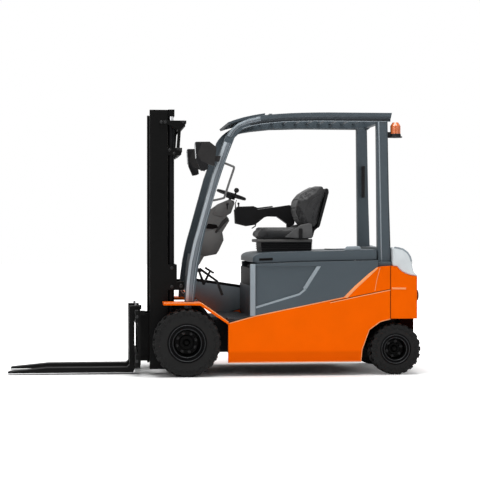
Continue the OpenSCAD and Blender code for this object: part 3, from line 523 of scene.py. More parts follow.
def hex_bolt(bm, centre, along, across, height):
    """A hexagon head on a washer, with its foot at the centre."""
    axis = Vector(along).normalized()
    foot = Vector(centre)
    add_rod(bm, foot, foot + axis * height * 0.25, across * 0.72, 16)
    add_rod(bm, foot + axis * height * 0.2, foot + axis * height, across * 0.56, 6, across * 0.52)


def dress_wheel(end, side_name, side, x, wheel_y, radius, width, disc_r, nut_circle, nuts, bead_r, lugs):
    out = Vector((0.0, side, 0.0))
    face_y = side * (wheel_y - 0.02 * width)
    hub_y = side * (wheel_y + 0.05 * width)
    body = end + "_wheel_" + side_name
    bm = bmesh.new()
    for number in range(nuts):
        angle = math.tau * number / nuts + 0.3
        spot = (x + nut_circle * math.cos(angle), face_y, radius + nut_circle * math.sin(angle))
        hex_bolt(bm, spot, out, 22.0, 17.0)
        add_rod(bm, spot, Vector(spot) + out * 26.0, 6.0, 10)
    place(bm, body + "_nuts", body, bolt_dark)
    bm = bmesh.new()
    add_turned(bm, [(0.0, 30.0), (10.0, 29.5), (20.0, 26.0), (26.0, 20.0), (28.0, 10.0), (32.0, 8.0), (34.0, 0.0)],
               (x, hub_y, radius), out, 40)
    add_turned(bm, [(disc_r - 4, 0.0), (disc_r - 4, 6.0), (disc_r - 10, 9.0), (disc_r - 16, 6.0), (disc_r - 18, 0.0)],
               (x, face_y, radius), out, 64)
    place(bm, body + "_hub_cap", body, rim_paint, 40.0)
    bm = bmesh.new()
    bead_y = side * (wheel_y + 0.5 * width)
    rim_r = disc_r + 14
    # The flange piece reaches out over the tyre's bead in black, as painted shade on the tyre's inner sidewall
    add_turned(bm, [(rim_r - 9, -0.13 * width), (rim_r - 1, -0.06 * width), (rim_r + 8, -0.05 * width),
                    (bead_r - 12, -0.032 * width), (bead_r - 6, -0.015 * width), (bead_r, -0.012 * width),
                    (bead_r + 6, -0.03 * width), (bead_r + 8, -0.05 * width)], (x, bead_y, radius), out, 96)
    place(bm, body + "_rim_flange", body, flange_and_bead_shade_paint, 60.0)
    bm = bmesh.new()
    # Raised beads in grey as painted highlights on the rim's lips
    for ring_r, rise in ((rim_r - 2, -0.055), (bead_r - 9, -0.018)):
        foot = rise * width
        add_turned(bm, [(ring_r - 4, foot - 3.0), (ring_r - 3, foot + 2.0), (ring_r, foot + 4.0),
                        (ring_r + 3, foot + 2.0), (ring_r + 4, foot - 3.0)], (x, bead_y, radius), out, 96)
    place(bm, body + "_rim_beads", body, bead_highlight_paint, 60.0)
    bm = bmesh.new()
    for number in range(lugs):
        angle = math.pi / 2 - math.tau * (number + 0.5) / lugs
        for low, high, turn in ((radius - 46, radius - 16, 0.0), (radius - 60, radius - 50, math.pi / lugs)):
            spots = [Vector((x + r * math.cos(angle + turn), side * (wheel_y + 0.498 * width),
                             radius + r * math.sin(angle + turn))) for r in (low, high)]
            add_rod(bm, spots[0], spots[1], 7.0, 6, 10.0)
    place(bm, body + "_side_lugs", body, tyre_rubber, 30.0)


for side_name, side in SIDES:
    dress_wheel("front", side_name, side, 0.0, front_wheel_y, front_r, 229.0, 113.0, 88.0, 8, 166.0, 26)
    dress_wheel("rear", side_name, side, wheelbase, rear_wheel_y, rear_r, 180.0, 88.0, 70.0, 6, 134.0, 22)


# Mast: tie bolts, cylinder glands, hoses, chain anchors and pulley pins

chain_y = 152.0


def dress_mast():
    bm = bmesh.new()
    for side_name, side in SIDES:
        out = (0.0, side, 0.0)
        for x, z in ((-215.0, 2236.0), (-180.0, 2236.0), (-20.0, 2238.0)):
            hex_bolt(bm, (x, side * (mast_half + 6), z), out, 20.0, 11.0)
        for x, z in ((-64.0, 2000.0), (-100.0, 1960.0), (-45.0, 1990.0), (-140.0, 1990.0)):
            hex_bolt(bm, (x, side * mast_half, z), out, 18.0, 10.0)
        for x, z in ((-120.0, 780.0), (-120.0, 945.0), (-130.0, 230.0), (-130.0, 390.0)):
            hex_bolt(bm, (x, side * mast_half, z), out, 22.0, 12.0)
        add_turned(bm, [(0.0, 9.0), (15.0, 9.0), (18.0, 6.0), (18.0, 0.0)], (-38.0, side * mast_half, 784.0), out, 32)
    place(bm, "mast_bolts", "mast", bolt_dark)
    bm = bmesh.new()
    for side_name, side in SIDES:
        add_turned(bm, [(23.0, 20.0), (30.5, 20.0), (31.5, 17.0), (31.5, -12.0), (28.5, -14.0)],
                   (-125.0, side * 306.0, 2232.0), (0, 0, 1), 40)
    place(bm, "lift_cylinder_glands", "mast", frame_paint)
    for side_name, side in SIDES:
        for step, offset in enumerate((0.0, 20.0)):
            low_y, y = side * (185.0 - offset), side * (96.0 - offset)
            tube("mast_hose_%s_%d" % (side_name, step),
                 [(-118.0, side * 262.0, 128.0), (-106.0, side * 215.0, 122.0), (-105.0, low_y, 160.0),
                  (-105.0, low_y, 400.0), (-105.0, y, 540.0), (-105.0, y, 1100.0), (-105.0, y, 1700.0),
                  (-104.0, y, 1930.0), (-84.0, y, 1976.0), (-62.0, y, 1980.0)],
                 7.5, "mast", hose_rubber)
    bm = bmesh.new()
    for side_name, side in SIDES:
        hex_bolt(bm, (-60.0, side * chain_y, 1980.0), (1, 0, 0), 24.0, 16.0)
        add_block(bm, (-119.0, side * chain_y - 14.0, 1952.0), (-112.0, side * chain_y + 14.0, 2010.0))
    soften(bm, 1.5, 1)
    place(bm, "rear_chain_anchors", "mast", bolt_dark)
    bm = bmesh.new()
    for side_name, side in SIDES:
        add_turned(bm, [(0.0, 4.0), (11.0, 4.0), (13.0, 2.0), (13.0, -2.0)], (-190.0, side * 177.0, 2220.0),
                   (0, side, 0), 24)
    place(bm, "pulley_pins", "inner_mast", bolt_dark)


dress_mast()


# Carriage and forks

def dress_carriage():
    bar_front = -447.5
    # Black plates in the top bar's notches as painted shade
    boxes_piece("carriage_notches", [((bar_front - 0.3, y - 5.0, 562.0), (bar_front + 12.0, y + 5.0, 576.8))
                                     for y in range(-455, 456, 65)], 0.0, 0, "carriage", seam_black)
    bm = bmesh.new()
    for side_name, side in SIDES:
        for z in (135.0, 523.0):
            hex_bolt(bm, (bar_front + 14.0, side * 520.0, z), (0, side, 0), 20.0, 9.0)
        hex_bolt(bm, (-254.0, side * chain_y, 342.0), (0, 0, -1), 24.0, 16.0)
    place(bm, "carriage_bolts", "carriage", bolt_dark)
    for side_name, side in SIDES:
        bm = bmesh.new()
        y = side * 225.0
        add_turned(bm, [(0.0, 20.0), (8.0, 19.0), (10.0, 16.0), (10.0, 2.0), (15.0, 0.0), (15.0, -2.0)],
                   (-436.0, y, 608.0), (0, 0, 1), 24)
        add_rod(bm, (-436.0, y - 26.0, 619.0), (-436.0, y + 26.0, 619.0), 4.0, 12)
        place(bm, "fork_pin_" + side_name, "fork_" + side_name, bolt_steel)


dress_carriage()


# Tilt cylinders' glands, set along the line from foot to eye

for side_name, side in SIDES:
    foot, eye = Vector((250.0, side * 325.0, 430.0)), Vector((-38.0, side * 325.0, 784.0))
    along = (eye - foot).normalized()
    turned_piece("tilt_gland_" + side_name, [(15.5, 18.0), (30.0, 18.0), (34.0, 14.0), (36.0, 10.0), (36.0, -12.0),
                                             (34.0, -14.0)], foot + along * 264.0, along, 40,
                 "tilt_barrel_" + side_name, bolt_dark)


# Body: painted highlights along edges, creases and the ledge, seams, a painted shadow line, panels, latch and the
# rounded rear cap

def strip(name, line, width, near, far, body, material, round_off=0.0):
    """A thin band along a line in the X and Z plane, between two distances from the centre plane."""
    left, right = [], []
    for number, (x, z) in enumerate(line):
        before = Vector(line[max(0, number - 1)])
        after = Vector(line[min(len(line) - 1, number + 1)])
        along = (after - before).normalized()
        across = Vector((-along.y, along.x)) * width / 2
        left.append((x + across.x, z + across.y))
        right.append((x - across.x, z - across.y))
    plate_piece(name, left + right[::-1], near, far, round_off, 2, body, material)


wing_edge_highlight = [(wheelbase - 470, 688), (wheelbase - 370, 788), (wheelbase - 245, 897), (wheelbase - 170, 953)]
seam_x = wheelbase - 49.0


def dress_body():
    for side_name, side in SIDES:
        skin = side * body_half
        # Pale orange strips are painted highlights: along the wing's edge, the panels' top and low edges, the arch,
        # beside the wing seam, on the wing's crease and over the counterweight's raised ledge; the black strips are
        # the panels' seams
        plate_piece("wing_edge_" + side_name, wing_edge_highlight + [(wheelbase - 160, 944), (wheelbase - 229, 879),
                    (wheelbase - 350, 769), (wheelbase - 434, 683)], skin, skin + side * 1.6, 0.8, 2, "chassis",
                    orange_highlight_paint)
        for label, line, width, rise, round_off, slot, material in (
                ("panel_top_edge", [(364, 464), (603, 528), (wheelbase - 470, 686)], 9.0, 1.2, 0.5,
                 "body_orange", orange_highlight_paint),
                ("panel_low_edge", [(364, 123), (wheelbase - 316, 123)], 8.0, 1.2, 0.5, "body_orange", orange_highlight_paint),
                ("arch_edge", [(wheelbase - 314, 124), (wheelbase - 302, 233), (wheelbase - 239, 402),
                               (wheelbase - 139, 473), (seam_x, 495)], 7.0, 1.2, 0.5, "body_orange", orange_highlight_paint),
                ("wing_seam", [(1262, 648), (1500, 699), (seam_x, 759)], 5.0, 0.8, 0.0, "plastic_black", seam_black),
                ("wing_seam_light", [(1262, 641), (1500, 691), (seam_x, 751)], 8.0, 1.0, 0.0, "body_orange",
                 orange_highlight_paint),
                ("wing_crease", [(1708, 950), (1680, 850), (1660, 745)], 6.0, 0.8, 0.0, "body_orange", orange_highlight_paint),
                ("rear_seam", [(seam_x, 497), (seam_x, 963)], 6.0, 0.8, 0.0, "plastic_black", seam_black),
                ("weight_ledge", [(seam_x + 12, 766), (wheelbase + 90, 764)], 16.0, 3.0, 1.4, "body_orange",
                 orange_highlight_paint)):
            strip("%s_%s" % (label, side_name), line, width, skin, skin + side * rise, "chassis", material,
                  round_off)
        # Painted highlight along the fenders' top edge
        strip("fender_edge_" + side_name, [(-203, 647), (122, 647), (362, 479)], 8.0, side * fender_half,
              side * (fender_half + 1.2), "chassis", orange_highlight_paint, 0.5)
        # Pale bands as painted highlights along the lower and steep edges of the side covers' recess
        for label, line, width in (("low", [(604, 594), (800, 652), (993, 710), (1052, 760)], 34.0),
                                   ("steep", [(1046, 754), (1179, 962)], 62.0)):
            strip("cover_%s_edge_%s" % (label, side_name), line, width, side * (body_half - 10),
                  side * (body_half - 0.5), "chassis", guard_pale_and_highlight, 3.0)
        cover_x = cover_front[side_name]
        if side < 0:
            # A rounded post at the near cover's front, pale as painted highlight; made on the near side only
            strip("cover_front_strip_left", [(cover_x + 24, 530), (cover_x + 24, 983)], 46.0, skin,
                  skin + side * 5.0, "chassis", guard_pale_and_highlight, 4.6)
        plate_piece("pillar_foot_" + side_name, [(1694, 950), (1694, 1000), (1818, 1000), (1818, 958)],
                    side * (guard_half - 20), side * (guard_half + 32), 3.0, 2, "chassis",
                    guard_paint)
        # Thin black line just above the orange sill: a painted shadow line
        strip("sill_light_" + side_name, [(370, 472), (cover_x - 4, 520)], 4.0, skin, skin + side * 1.0,
              "chassis", black_plastic)
    boxes_piece("battery_front_panel", [((576.0, -body_half + 32, 506.0), (584.6, body_half - 32, 782.0))], 3.0, 2,
                "chassis", cowl_plastic)
    plate_piece("wall_cap_right", [(106, 828.5), (592, 755.8), (592, 732.5), (106, 805)], body_half - 31,
                body_half + 1, 2.0, 2, "chassis", black_plastic)
    # Pale lining on the right wall's inner face, as painted light where the wall is in shade
    plate_piece("wall_lining_right", [(126, 656), (112, 664), (112, 800), (590, 730), (590, 536), (368, 478)],
                body_half - 31, body_half - 25, 2.0, 2, "chassis", lining_painted_light)
    plate_piece("steer_axle_mount", [(1806, 498), (1806, 470), (1830, 425), (1976, 425), (1976, 498)], -70, 70, 8.0,
                2, "chassis", frame_paint)


dress_body()


def make_rear_cap():
    valley = [(1863, 958.8)] + bow((1863, 958.8), (1898, 890.8), (2027, 873.8), 7)
    outline = ([(1822.5, 963.5), (1822.5, 1116), (1834, 1129)] + bow((1870, 1130), (1952, 1118), (1997, 1004), 7) +
               [(2003, 950), (2014, 908), (2040, 888), (2048, 868.5)] + valley[::-1])
    bm = outline_solid(outline, -body_half + 8, body_half - 8)
    soften(bm, 16.0, 4)
    cap = place(bm, "rear_cap", "chassis", shoulder_plastic_and_painted_sheen, 60.0)
    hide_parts("rear_shoulders")
    band = [(1836, 1127), (1868, 1123), (1912, 1112), (1954, 1082), (1978, 1045), (1990, 1004)]
    for side_name, side in SIDES:
        skin = side * (body_half - 8)
        strip("rear_cap_band_" + side_name, band, 15.0, skin - side * 3.0, skin + side * 0.6, "chassis",
              guard_pale_and_highlight, 0.3)
    boxes_piece("weight_louvres", [((2085.0, -170.0, z), (2096.0, 170.0, z + 12)) for z in range(560, 697, 34)],
                2.5, 2, "chassis", orange_deep)


make_rear_cap()


def dress_lid():
    for side_name, side in SIDES:
        skin = side * (body_half - 25)
        plate_piece("lid_slot_frame_" + side_name, [(640, 1010), (752, 1014), (758, 1019), (758, 1033), (752, 1038),
                    (640, 1034), (633, 1029), (633, 1015)], skin - side * 2.0, skin + side * 1.2, 1.0, 2, "hood",
                    black_plastic)
        # Black inset in the handle slot as painted shade in its opening
        bm = outline_solid([(645, 1015), (748, 1018.5), (752, 1022), (752, 1030), (748, 1033), (645, 1029.5),
                            (640, 1026), (640, 1019)], skin + side * 0.5, skin + side * 1.8)
        place(bm, "lid_slot_" + side_name, "hood", seam_black)
    plate_piece("lid_latch", [(1400, 1100), (1412, 1128), (1424, 1137), (1526, 1140), (1538, 1132), (1552, 1104)],
                -538, -500, 5.0, 3, "hood", guard_pale_and_highlight)
    boxes_piece("lid_ribs", [((1330.0, y - 22.0, 1098.0), (1560.0, y + 22.0, 1108.5)) for y in range(-150, 151, 75)],
                3.0, 2, "hood", guard_paint)


dress_lid()


# Overhead guard: painted highlights and shade on its rounded faces, lamps, beacon and grips

pillar_ends = [((-12, 655), (64, 655)), ((-2, 830), (83, 830)), ((19, 1000), (107, 1000)),
               ((60, 1180), (142, 1180)), ((92, 1281), (166, 1281)), ((136, 1440), (209, 1440)),
               ((180, 1600), (258, 1600)), ((225, 1763), (306, 1763)), ((290, 1945), (367, 1930)),
               ((330, 2058), (402, 2035))]
rail_ends = [((348, 2108), (421, 2087)), ((392, 2172), (446, 2138)), ((452, 2222), (488, 2176)),
             ((540, 2258), (566, 2200)), ((647, 2286), (665, 2218)), ((850, 2305), (850, 2238)),
             ((1270, 2321), (1140, 2247)), ((1815, 2321), (1812, 2247))]


def between(ends, share):
    return [(a[0] + (b[0] - a[0]) * share, a[1] + (b[1] - a[1]) * share) for a, b in ends]


def dress_guard():
    for side_name, side in SIDES:
        skin = side * guard_half
        # Bands along the pillars and rails: painted highlights on the crowns, bead and inner line, painted half-light
        # on the flanks, painted shade on the rails' flank and low edge
        for label, ends, share, width, material in (
                ("pillar_crown", pillar_ends, 0.20, 26.0, guard_painted_highlight),
                ("pillar_flank", pillar_ends, 0.54, 24.0, guard_painted_half_light),
                ("pillar_bead", pillar_ends, 0.80, 6.0, guard_pale_and_highlight),
                ("rail_bend_crown", rail_ends[:5], 0.24, 20.0, guard_pale_and_highlight),
                ("rail_bend_flank", rail_ends[:5], 0.56, 14.0, guard_painted_half_light),
                ("rail_flank", rail_ends[4:], 0.56, 15.0, guard_painted_shade),
                ("rail_low_edge", rail_ends[3:], 0.86, 20.0, guard_dark),
                ("rail_inner_line", rail_ends[2:], 1.04, 6.0, guard_pale_and_highlight)):
            strip(label + "_" + side_name, between(ends, share), width, skin, skin + side * 1.8, "chassis",
                  material, 0.8)
        # Painted highlight along the rear pillars' crown and painted shade along their back edge
        for label, line, width, material in (
                ("crown", [(1706, 2240), (1708, 2180), (1722, 1547), (1732, 1003)], 11.0, guard_pale_and_highlight),
                ("back_edge", [(1781, 2240), (1794, 1547), (1812, 1003)], 9.0, guard_painted_shade)):
            strip("rear_pillar_%s_%s" % (label, side_name), line, width, skin, skin + side * 1.8, "chassis",
                  material, 0.8)


dress_guard()


def dress_lamp(side_name, side):
    near, far = side * (guard_half + 5), side * (guard_half + 72)
    plate_piece("lamp_guard_" + side_name, [(71, 2046), (132, 2046), (100, 1968), (92, 1939), (126, 1884),
                (178, 1862), (184, 1812), (158, 1802), (124, 1797), (86, 1885)], near, far, 3.0, 2, "chassis",
                black_plastic)
    plate_piece("lamp_lens_" + side_name, [(66, 2036), (72, 2036), (82, 1906), (76, 1906)],
                side * (guard_half + 12), side * (guard_half + 64), 2.0, 2, "chassis", clear_lens)
    spot = (wheelbase + 206, side * 470, 700.0)
    turned_piece("rear_lamp_rim_" + side_name, [(0.0, -10.0), (46.0, -10.0), (47.0, 10.0), (44.0, 14.0), (38.0, 14.0)],
                 spot, (1, 0, 0), 40, "chassis", black_plastic)
    turned_piece("rear_lamp_" + side_name, [(0.0, 21.0), (18.0, 20.0), (32.0, 17.0), (39.0, 12.0), (39.0, 0.0)], spot,
                 (1, 0, 0), 40, "chassis", red_lens)


for side_name, side in SIDES:
    dress_lamp(side_name, side)


def dress_beacon():
    spot = (wheelbase + 14, -guard_half + 35, 2104.0)
    turned_piece("beacon_base", [(0.0, -1.0), (60.0, -1.0), (60.5, 6.0), (58.0, 10.0), (50.0, 12.0), (48.0, 30.0),
                                 (45.5, 33.0)], spot, (0, 0, 1), 48, "chassis", black_plastic)
    boxes_piece("beacon_bracket", [((wheelbase - 64, spot[1] - 18, 2101.0), (wheelbase - 30, spot[1] + 18, 2153.0))],
                3.0, 2, "chassis", black_plastic)
    bm = bmesh.new()
    for number in range(5):
        z = 46.0 + number * 12
        add_turned(bm, [(45.0, z - 3), (46.6, z), (45.0, z + 3)], spot, (0, 0, 1), 48)
    place(bm, "beacon_ribs", "chassis", amber_lens, 60.0)


dress_beacon()


def make_grips():
    y = guard_in - 50
    bm = bmesh.new()
    profile = [(0.0, 0.0), (13.0, 0.0), (17.0, 4.0)]
    for number in range(12):
        z = 36.0 + number * 19
        profile += [(17.0, z), (15.5, z + 2), (15.5, z + 5), (17.0, z + 7)]
    profile += [(17.0, 296.0), (13.0, 300.0), (0.0, 300.0)]
    add_turned(bm, profile, (wheelbase - 110, y, 1590.0), (0, 0, 1), 32)
    for z in (1601.0, 1856.0):
        add_rod(bm, (wheelbase - 110, y + 4, z + 12), (wheelbase - 110, guard_in + 1, z + 12), 11.0, 20)
    rear = place(bm, "rear_grip", "chassis", black_plastic)
    front_y = -guard_in - 35
    front = tube("front_grip",
                 [(236, front_y, 1541), (290, front_y, 1552), (334, front_y, 1564), (346, front_y, 1600),
                  (380, front_y, 1705), (420, front_y, 1822), (420, front_y, 1838), (376, front_y, 1855),
                  (300, front_y, 1884)], 10.0, "chassis", grip_plastic)
    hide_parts("grips")
    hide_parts("grips")


make_grips()


# Driver's place: dash, column, levers, mat, pedals, steering wheel and armrest

column_half = 62.0
knob = [(0.0, -16.0), (10.0, -14.0), (13.0, 0.0), (10.0, 14.0), (0.0, 17.0)]


def dress_cowl():
    plate_piece("dash_panel", [(98, 1062), (112, 1064), (150, 1040), (146, 1012), (112, 1000), (102, 1010)], 95,
                360, 6.0, 3, "chassis", dark_plastic)
    plate_piece("dash_display", [(128, 1058), (148, 1044.5), (150.5, 1047), (129, 1061)], 120, 250, 1.0, 2,
                "chassis", screen_black)
    bm = bmesh.new()
    for y in (275.0, 305.0, 335.0):
        add_turned(bm, [(0.0, 12.0), (8.0, 11.0), (9.0, 8.0), (9.0, 0.0)], (138.0, y, 1050.0), (0.6, 0, 0.8), 24)
    place(bm, "dash_buttons", "chassis", black_plastic)
    for side_name, side in SIDES:
        for label, outline, rise, round_off, material in (
                ("top_cover", [(262, 1424), (304, 1504), (330, 1517), (410, 1551), (455, 1541), (458, 1521),
                               (430, 1442), (400, 1420), (345, 1398)], 4.0, 3.5, dark_plastic),
                ("low_cover", [(150, 1062), (137, 1210), (196, 1262), (262, 1280), (345, 1258), (356, 1190),
                               (318, 1100), (296, 1068), (258, 1062), (190, 1048)], 4.0, 3.5, dark_plastic),
                ("band", [(196, 1296), (226, 1340), (302, 1330), (318, 1300), (262, 1290)], 3.0, 2.0, seam_black),
                ("arm", [(284, 1262), (300, 1252), (366, 1330), (410, 1372), (410, 1392), (392, 1398),
                         (356, 1368)], 7.0, 3.5, lamp_plastic)):
            plate_piece("column_%s_%s" % (label, side_name), outline, side * column_half,
                        side * (column_half + rise), round_off, 2, "chassis", material)
    for label, side, end in (("direction", -1, (392, -165, 1510)), ("signal", 1, (392, 160, 1508))):
        tube(label + "_lever", [(400, side * 55, 1470), (396, side * 110, 1492), end], 5.0, "chassis",
             black_plastic)
    bm = bmesh.new()
    add_turned(bm, knob, (391.0, -174.0, 1513.0), (-0.05, -0.9, 0.3), 24)
    add_turned(bm, knob, (391.0, 169.0, 1511.0), (-0.05, 0.9, 0.3), 24)
    place(bm, "lever_knobs", "chassis", black_plastic)


dress_cowl()


def dress_floor():
    boxes_piece("mat_ribs", [((290.0, y, 504.5), (560.0, y + 16.0, 507.5)) for y in range(-500, 461, 80)], 1.0, 1,
                "chassis", mat_rubber)
    bm = bmesh.new()
    slope = Vector((350.0, 0.0, 694.0)) - Vector((299.0, 0.0, 830.0))
    normal = Vector((slope.z, 0.0, -slope.x)).normalized()
    for number in range(6):
        centre = Vector((299.0, -211.0, 830.0)) + slope * (number + 0.7) / 6.4
        add_rod(bm, centre + Vector((0, -32, 0)) - normal * 1.0, centre + Vector((0, 32, 0)) - normal * 1.0, 3.5, 10)
    for number in range(4):
        x, z = 206.0 + number * 20.0, 941.5 - number * 13.0
        add_rod(bm, (x, -166.0, z), (x, -84.0, z), 3.5, 10)
    place(bm, "pedal_ribs", "chassis", black_plastic)
    bm = bmesh.new()
    for row in range(4):
        for column in range(9):
            x, y = 385.0 + column * 19.0, -556.0 + row * 12.0
            add_rod(bm, (x - 5, y - 3 if (row + column) % 2 else y + 3, 506.0),
                    (x + 5, y + 3 if (row + column) % 2 else y - 3, 506.0), 2.4, 6)
    place(bm, "step_grip_pattern", "chassis", bolt_dark)


dress_floor()


def dress_wheel_and_armrest():
    lean = math.radians(18.0)
    axis = (math.sin(lean), 0.0, math.cos(lean))
    turned_piece("wheel_hub_cover", [(0.0, 12.0), (20.0, 11.5), (34.0, 10.0), (40.0, 6.0), (43.0, 0.0)],
                 (443.0, 0.0, 1604.0), axis, 40, "steering_wheel", dark_plastic)
    bm = outline_solid([(520, 1484), (672, 1492), (718, 1475), (862, 1494), (858, 1508), (716, 1490), (676, 1506),
                        (524, 1500)], 279, 361)
    soften(bm, 6.0, 3)
    place(bm, "armrest_palm_pad", "hood", seat_vinyl)
    bm = bmesh.new()
    for number in range(4):
        y = 292.0 + number * 19
        add_rod(bm, (545.0, y, 1480.0), (541.0, y, 1520.0), 4.0, 12)
        add_turned(bm, [(0.0, -9.0), (6.0, -7.0), (8.5, 0.0), (7.0, 9.0), (0.0, 13.0)], (540.5, y, 1527.0),
                   (-0.1, 0, 1), 20)
    place(bm, "lift_levers", "hood", black_plastic)
    tube("armrest_hoop", [(512, 284, 1475), (508, 284, 1530), (520, 300, 1560), (524, 330, 1562), (512, 352, 1530),
                          (512, 354, 1478)], 3.2, "hood", black_plastic)
    tube("armrest_lever", [(700, 277, 1345), (694, 268, 1318), (660, 266, 1296)], 5.0, "hood",
         black_plastic)


dress_wheel_and_armrest()


def dress_seat_base():
    for label, boxes, round_off, material in (
            ("seat_bellows", [((692.0, -209.0, z), (1160.0, 209.0, z + 11.0)) for z in range(1104, 1177, 18)], 4.5,
             black_plastic),
            ("seat_base_rim", [((655.0, -232.0, 1170.0), (1158.0, 232.0, 1198.0))], 9.0, dark_plastic),
            ("belt_buckle", [((1030.0, -266.0, 1196.0), (1062.0, -248.0, 1296.0))], 6.0, black_plastic)):
        boxes_piece(label, boxes, round_off, 3, "hood", material)


dress_seat_base()


def finish_pad(pad, nodes, low, high, seams):
    """Fits a blown pad into its room, gives it finer faces and seams, and sets it in place of the plain solid."""
    finer = pad.modifiers.new("finer", "SUBSURF")
    finer.levels = 1
    finer.render_levels = 1
    graph = bpy.context.evaluated_depsgraph_get()
    mesh = bpy.data.meshes.new_from_object(pad.evaluated_get(graph))
    pad.modifiers.clear()
    pad.data = mesh
    for seam in seams:
        press_seam(pad, *seam)
    corner, far_corner = at(*low), at(*high)
    for vert in mesh.vertices:
        for axis in range(3):
            vert.co[axis] = min(max(vert.co[axis], corner[axis]), far_corner[axis])
    mesh.name = pad.name
    mesh.materials.append(bolster_vinyl)
    for face in mesh.polygons:
        face.use_smooth = True
        if abs(face.center.y) > bolster_y * MM:
            face.material_index = 1
    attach(pad, "hood")
    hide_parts(*nodes)


bolster_y = 172.0


def side_seam(spot):
    return abs(abs(spot.y) - bolster_y * MM)


def cross_seam(x):
    across = at(x, 0, 0).x
    return lambda spot: abs(spot.x - across) if abs(spot.y) < bolster_y * MM else 1.0


def height_seam(z):
    return lambda spot: abs(spot.z - z * MM) if abs(spot.y) < bolster_y * MM else 1.0


def ring_seam(x, z, radius):
    centre = at(x, 0, z)
    return lambda spot: abs(math.hypot(spot.x - centre.x, spot.z - centre.z) - radius * MM)


def make_seat():
    outline = [(688, 1211), (654, 1234), (660, 1262), (676, 1280), (712, 1284), (900, 1289), (1096, 1292),
               (1150, 1284), (1151, 1211)]
    bm = outline_solid(outline, -240, 240)
    soften(bm, 13.0, 3)
    for _, side in SIDES:
        add_block(bm, (690.0, min(side * 182, side * 234), 1240.0), (1120.0, max(side * 182, side * 234), 1297.0))
    cushion = puffed(bm, "seat_cushion_pad", seat_vinyl, 16.0)
    finish_pad(cushion, ["seat_cushion"], (641, -253, 1199), (1163, 253, 1306),
               [(side_seam, 9.0, 9.0, (0, 0, -1)), (cross_seam(800), 8.0, 7.0, (0, 0, -1)),
                (cross_seam(900), 8.0, 7.0, (0, 0, -1)), (cross_seam(1000), 8.0, 7.0, (0, 0, -1))])
    for side_name, side in SIDES:
        bm = outline_solid([(900, 1216), (1005, 1206), (1150, 1206), (1156, 1240), (1150, 1336), (1120, 1342),
                            (1041, 1326), (960, 1262)], side * 232, side * 251)
        soften(bm, 7.0, 4)
        place(bm, "seat_hip_pad_" + side_name, "hood", hip_vinyl, 60.0)
    outline = [(1096, 1312), (1047, 1392), (1030, 1450), (1018, 1500), (1024, 1552), (1062, 1587), (1136, 1635),
               (1190, 1664), (1244, 1684), (1262, 1674), (1266, 1630), (1250, 1560), (1188, 1318), (1172, 1302)]
    bm = outline_solid(outline, -228, 228)
    soften(bm, 12.0, 3)
    back = puffed(bm, "seat_back_pad", seat_vinyl, 15.0)
    finish_pad(back, ["seat_back"], (1002, -241, 1300), (1315, 241, 1696),
               [(side_seam, 9.0, 9.0, (1, 0, -0.2)), (height_seam(1400), 8.0, 7.0, (1, 0, -0.2)),
                (height_seam(1480), 8.0, 7.0, (1, 0, -0.2)), (height_seam(1560), 8.0, 7.0, (1, 0, -0.4)),
                (ring_seam(1295, 1410, 205), 9.0, 6.0, (0, 1, 0)), (ring_seam(1295, 1410, 205), 9.0, 6.0, (0, -1, 0)),
                (ring_seam(1270, 1420, 120), 8.0, 5.0, (0, 1, 0)),
                (ring_seam(1270, 1420, 120), 8.0, 5.0, (0, -1, 0))])
    plate_piece("seat_back_shell", [(1292, 1662), (1308, 1650), (1312, 1622), (1230, 1318), (1216, 1300),
                (1204, 1306), (1214, 1350), (1276, 1590), (1282, 1640)], -205, 205, 5.0, 3, "hood",
                black_plastic)
    plate_piece("seat_back_bracket", [(1172, 1215), (1190, 1276), (1223, 1306), (1236, 1340), (1214, 1340),
                (1180, 1302), (1161, 1290), (1161, 1215)], -150, 150, 4.0, 2, "hood", black_plastic)


make_seat()


# Studio: pale floor and soft light

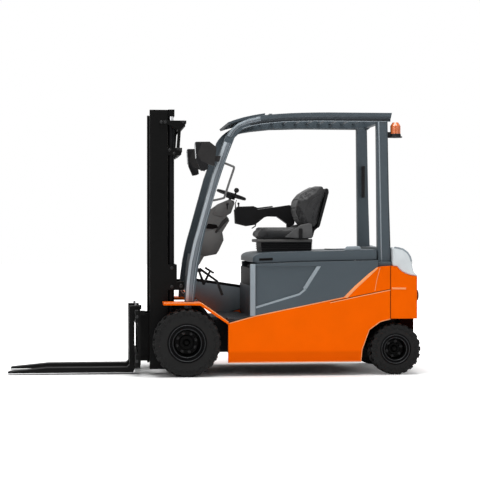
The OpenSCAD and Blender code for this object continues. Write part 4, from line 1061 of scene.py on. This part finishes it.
def make_stage():
    bm = bmesh.new()
    bmesh.ops.create_grid(bm, x_segments=1, y_segments=1, size=40.0)
    mesh = bpy.data.meshes.new("floor")
    bm.to_mesh(mesh)
    bm.free()
    floor = bpy.data.objects.new("floor", mesh)
    bpy.context.collection.objects.link(floor)
    look = Look("floor_white")
    away = look.nodes.new("ShaderNodeVectorMath")
    away.operation = "LENGTH"
    look.links.new(look.coords, away.inputs[0])
    glow = look.nodes.new("ShaderNodeMath")
    glow.operation = "MULTIPLY"
    look.links.new(look.nodes.new("ShaderNodeLightPath").outputs["Is Camera Ray"], glow.inputs[0])
    look.links.new(look.spread(away.outputs["Value"], From_Min=1.2, From_Max=4.0, To_Min=floor_lift), glow.inputs[1])
    look.links.new(glow.outputs["Value"], look.shader.inputs["Emission Strength"])
    mesh.materials.append(look.finish(None, None, None, Base_Color=(0.9, 0.9, 0.9, 1.0), Roughness=0.9,
                                      Specular_IOR_Level=0.1, Emission_Color=(1.0, 1.0, 1.0, 1.0)))


def make_light(name, spot, target, size, power):
    data = bpy.data.lights.new(name, "AREA")
    data.shape = "RECTANGLE"
    data.size = size[0]
    data.size_y = size[1]
    data.energy = power
    lamp = bpy.data.objects.new(name, data)
    bpy.context.collection.objects.link(lamp)
    lamp.location = spot
    lamp.rotation_euler = (Vector(target) - Vector(spot)).to_track_quat("-Z", "Y").to_euler()


def make_world():
    """White where seen directly and through glass, a little darker as light on the truck and in its reflections."""
    world = bpy.data.worlds.new("studio")
    bpy.context.scene.world = world
    world.use_nodes = True
    nodes = world.node_tree.nodes
    links = world.node_tree.links
    nodes.clear()
    output = nodes.new("ShaderNodeOutputWorld")
    soft = nodes.new("ShaderNodeBackground")
    white = nodes.new("ShaderNodeBackground")
    mix = nodes.new("ShaderNodeMixShader")
    path = nodes.new("ShaderNodeLightPath")
    seen = nodes.new("ShaderNodeMath")
    seen.operation = "MAXIMUM"
    links.new(path.outputs["Is Camera Ray"], seen.inputs[0])
    links.new(path.outputs["Is Transmission Ray"], seen.inputs[1])
    set_inputs(soft, Color=(1.0, 1.0, 1.0, 1.0), Strength=sky_light)
    set_inputs(white, Strength=1.0, Color=(1.0, 1.0, 1.0, 1.0))
    links.new(seen.outputs["Value"], mix.inputs["Fac"])
    links.new(soft.outputs["Background"], mix.inputs[1])
    links.new(white.outputs["Background"], mix.inputs[2])
    links.new(mix.outputs["Shader"], output.inputs["Surface"])


sky_light = 0.43
floor_lift = 0.0
make_stage()
make_world()
make_light("top", (0.2, -0.6, 6.5), (0.2, -0.2, 0.0), (5.0, 4.0), 510.0)
make_light("key", (-3.5, -6.0, 4.0), (0.0, 0.0, 0.9), (4.0, 3.0), 75.0)
make_light("fill", (4.5, -5.0, 3.0), (0.3, 0.0, 0.8), (3.0, 3.0), 35.0)
make_light("rear", (2.0, 5.0, 5.0), (0.0, 0.0, 1.0), (4.0, 2.0), 80.0)
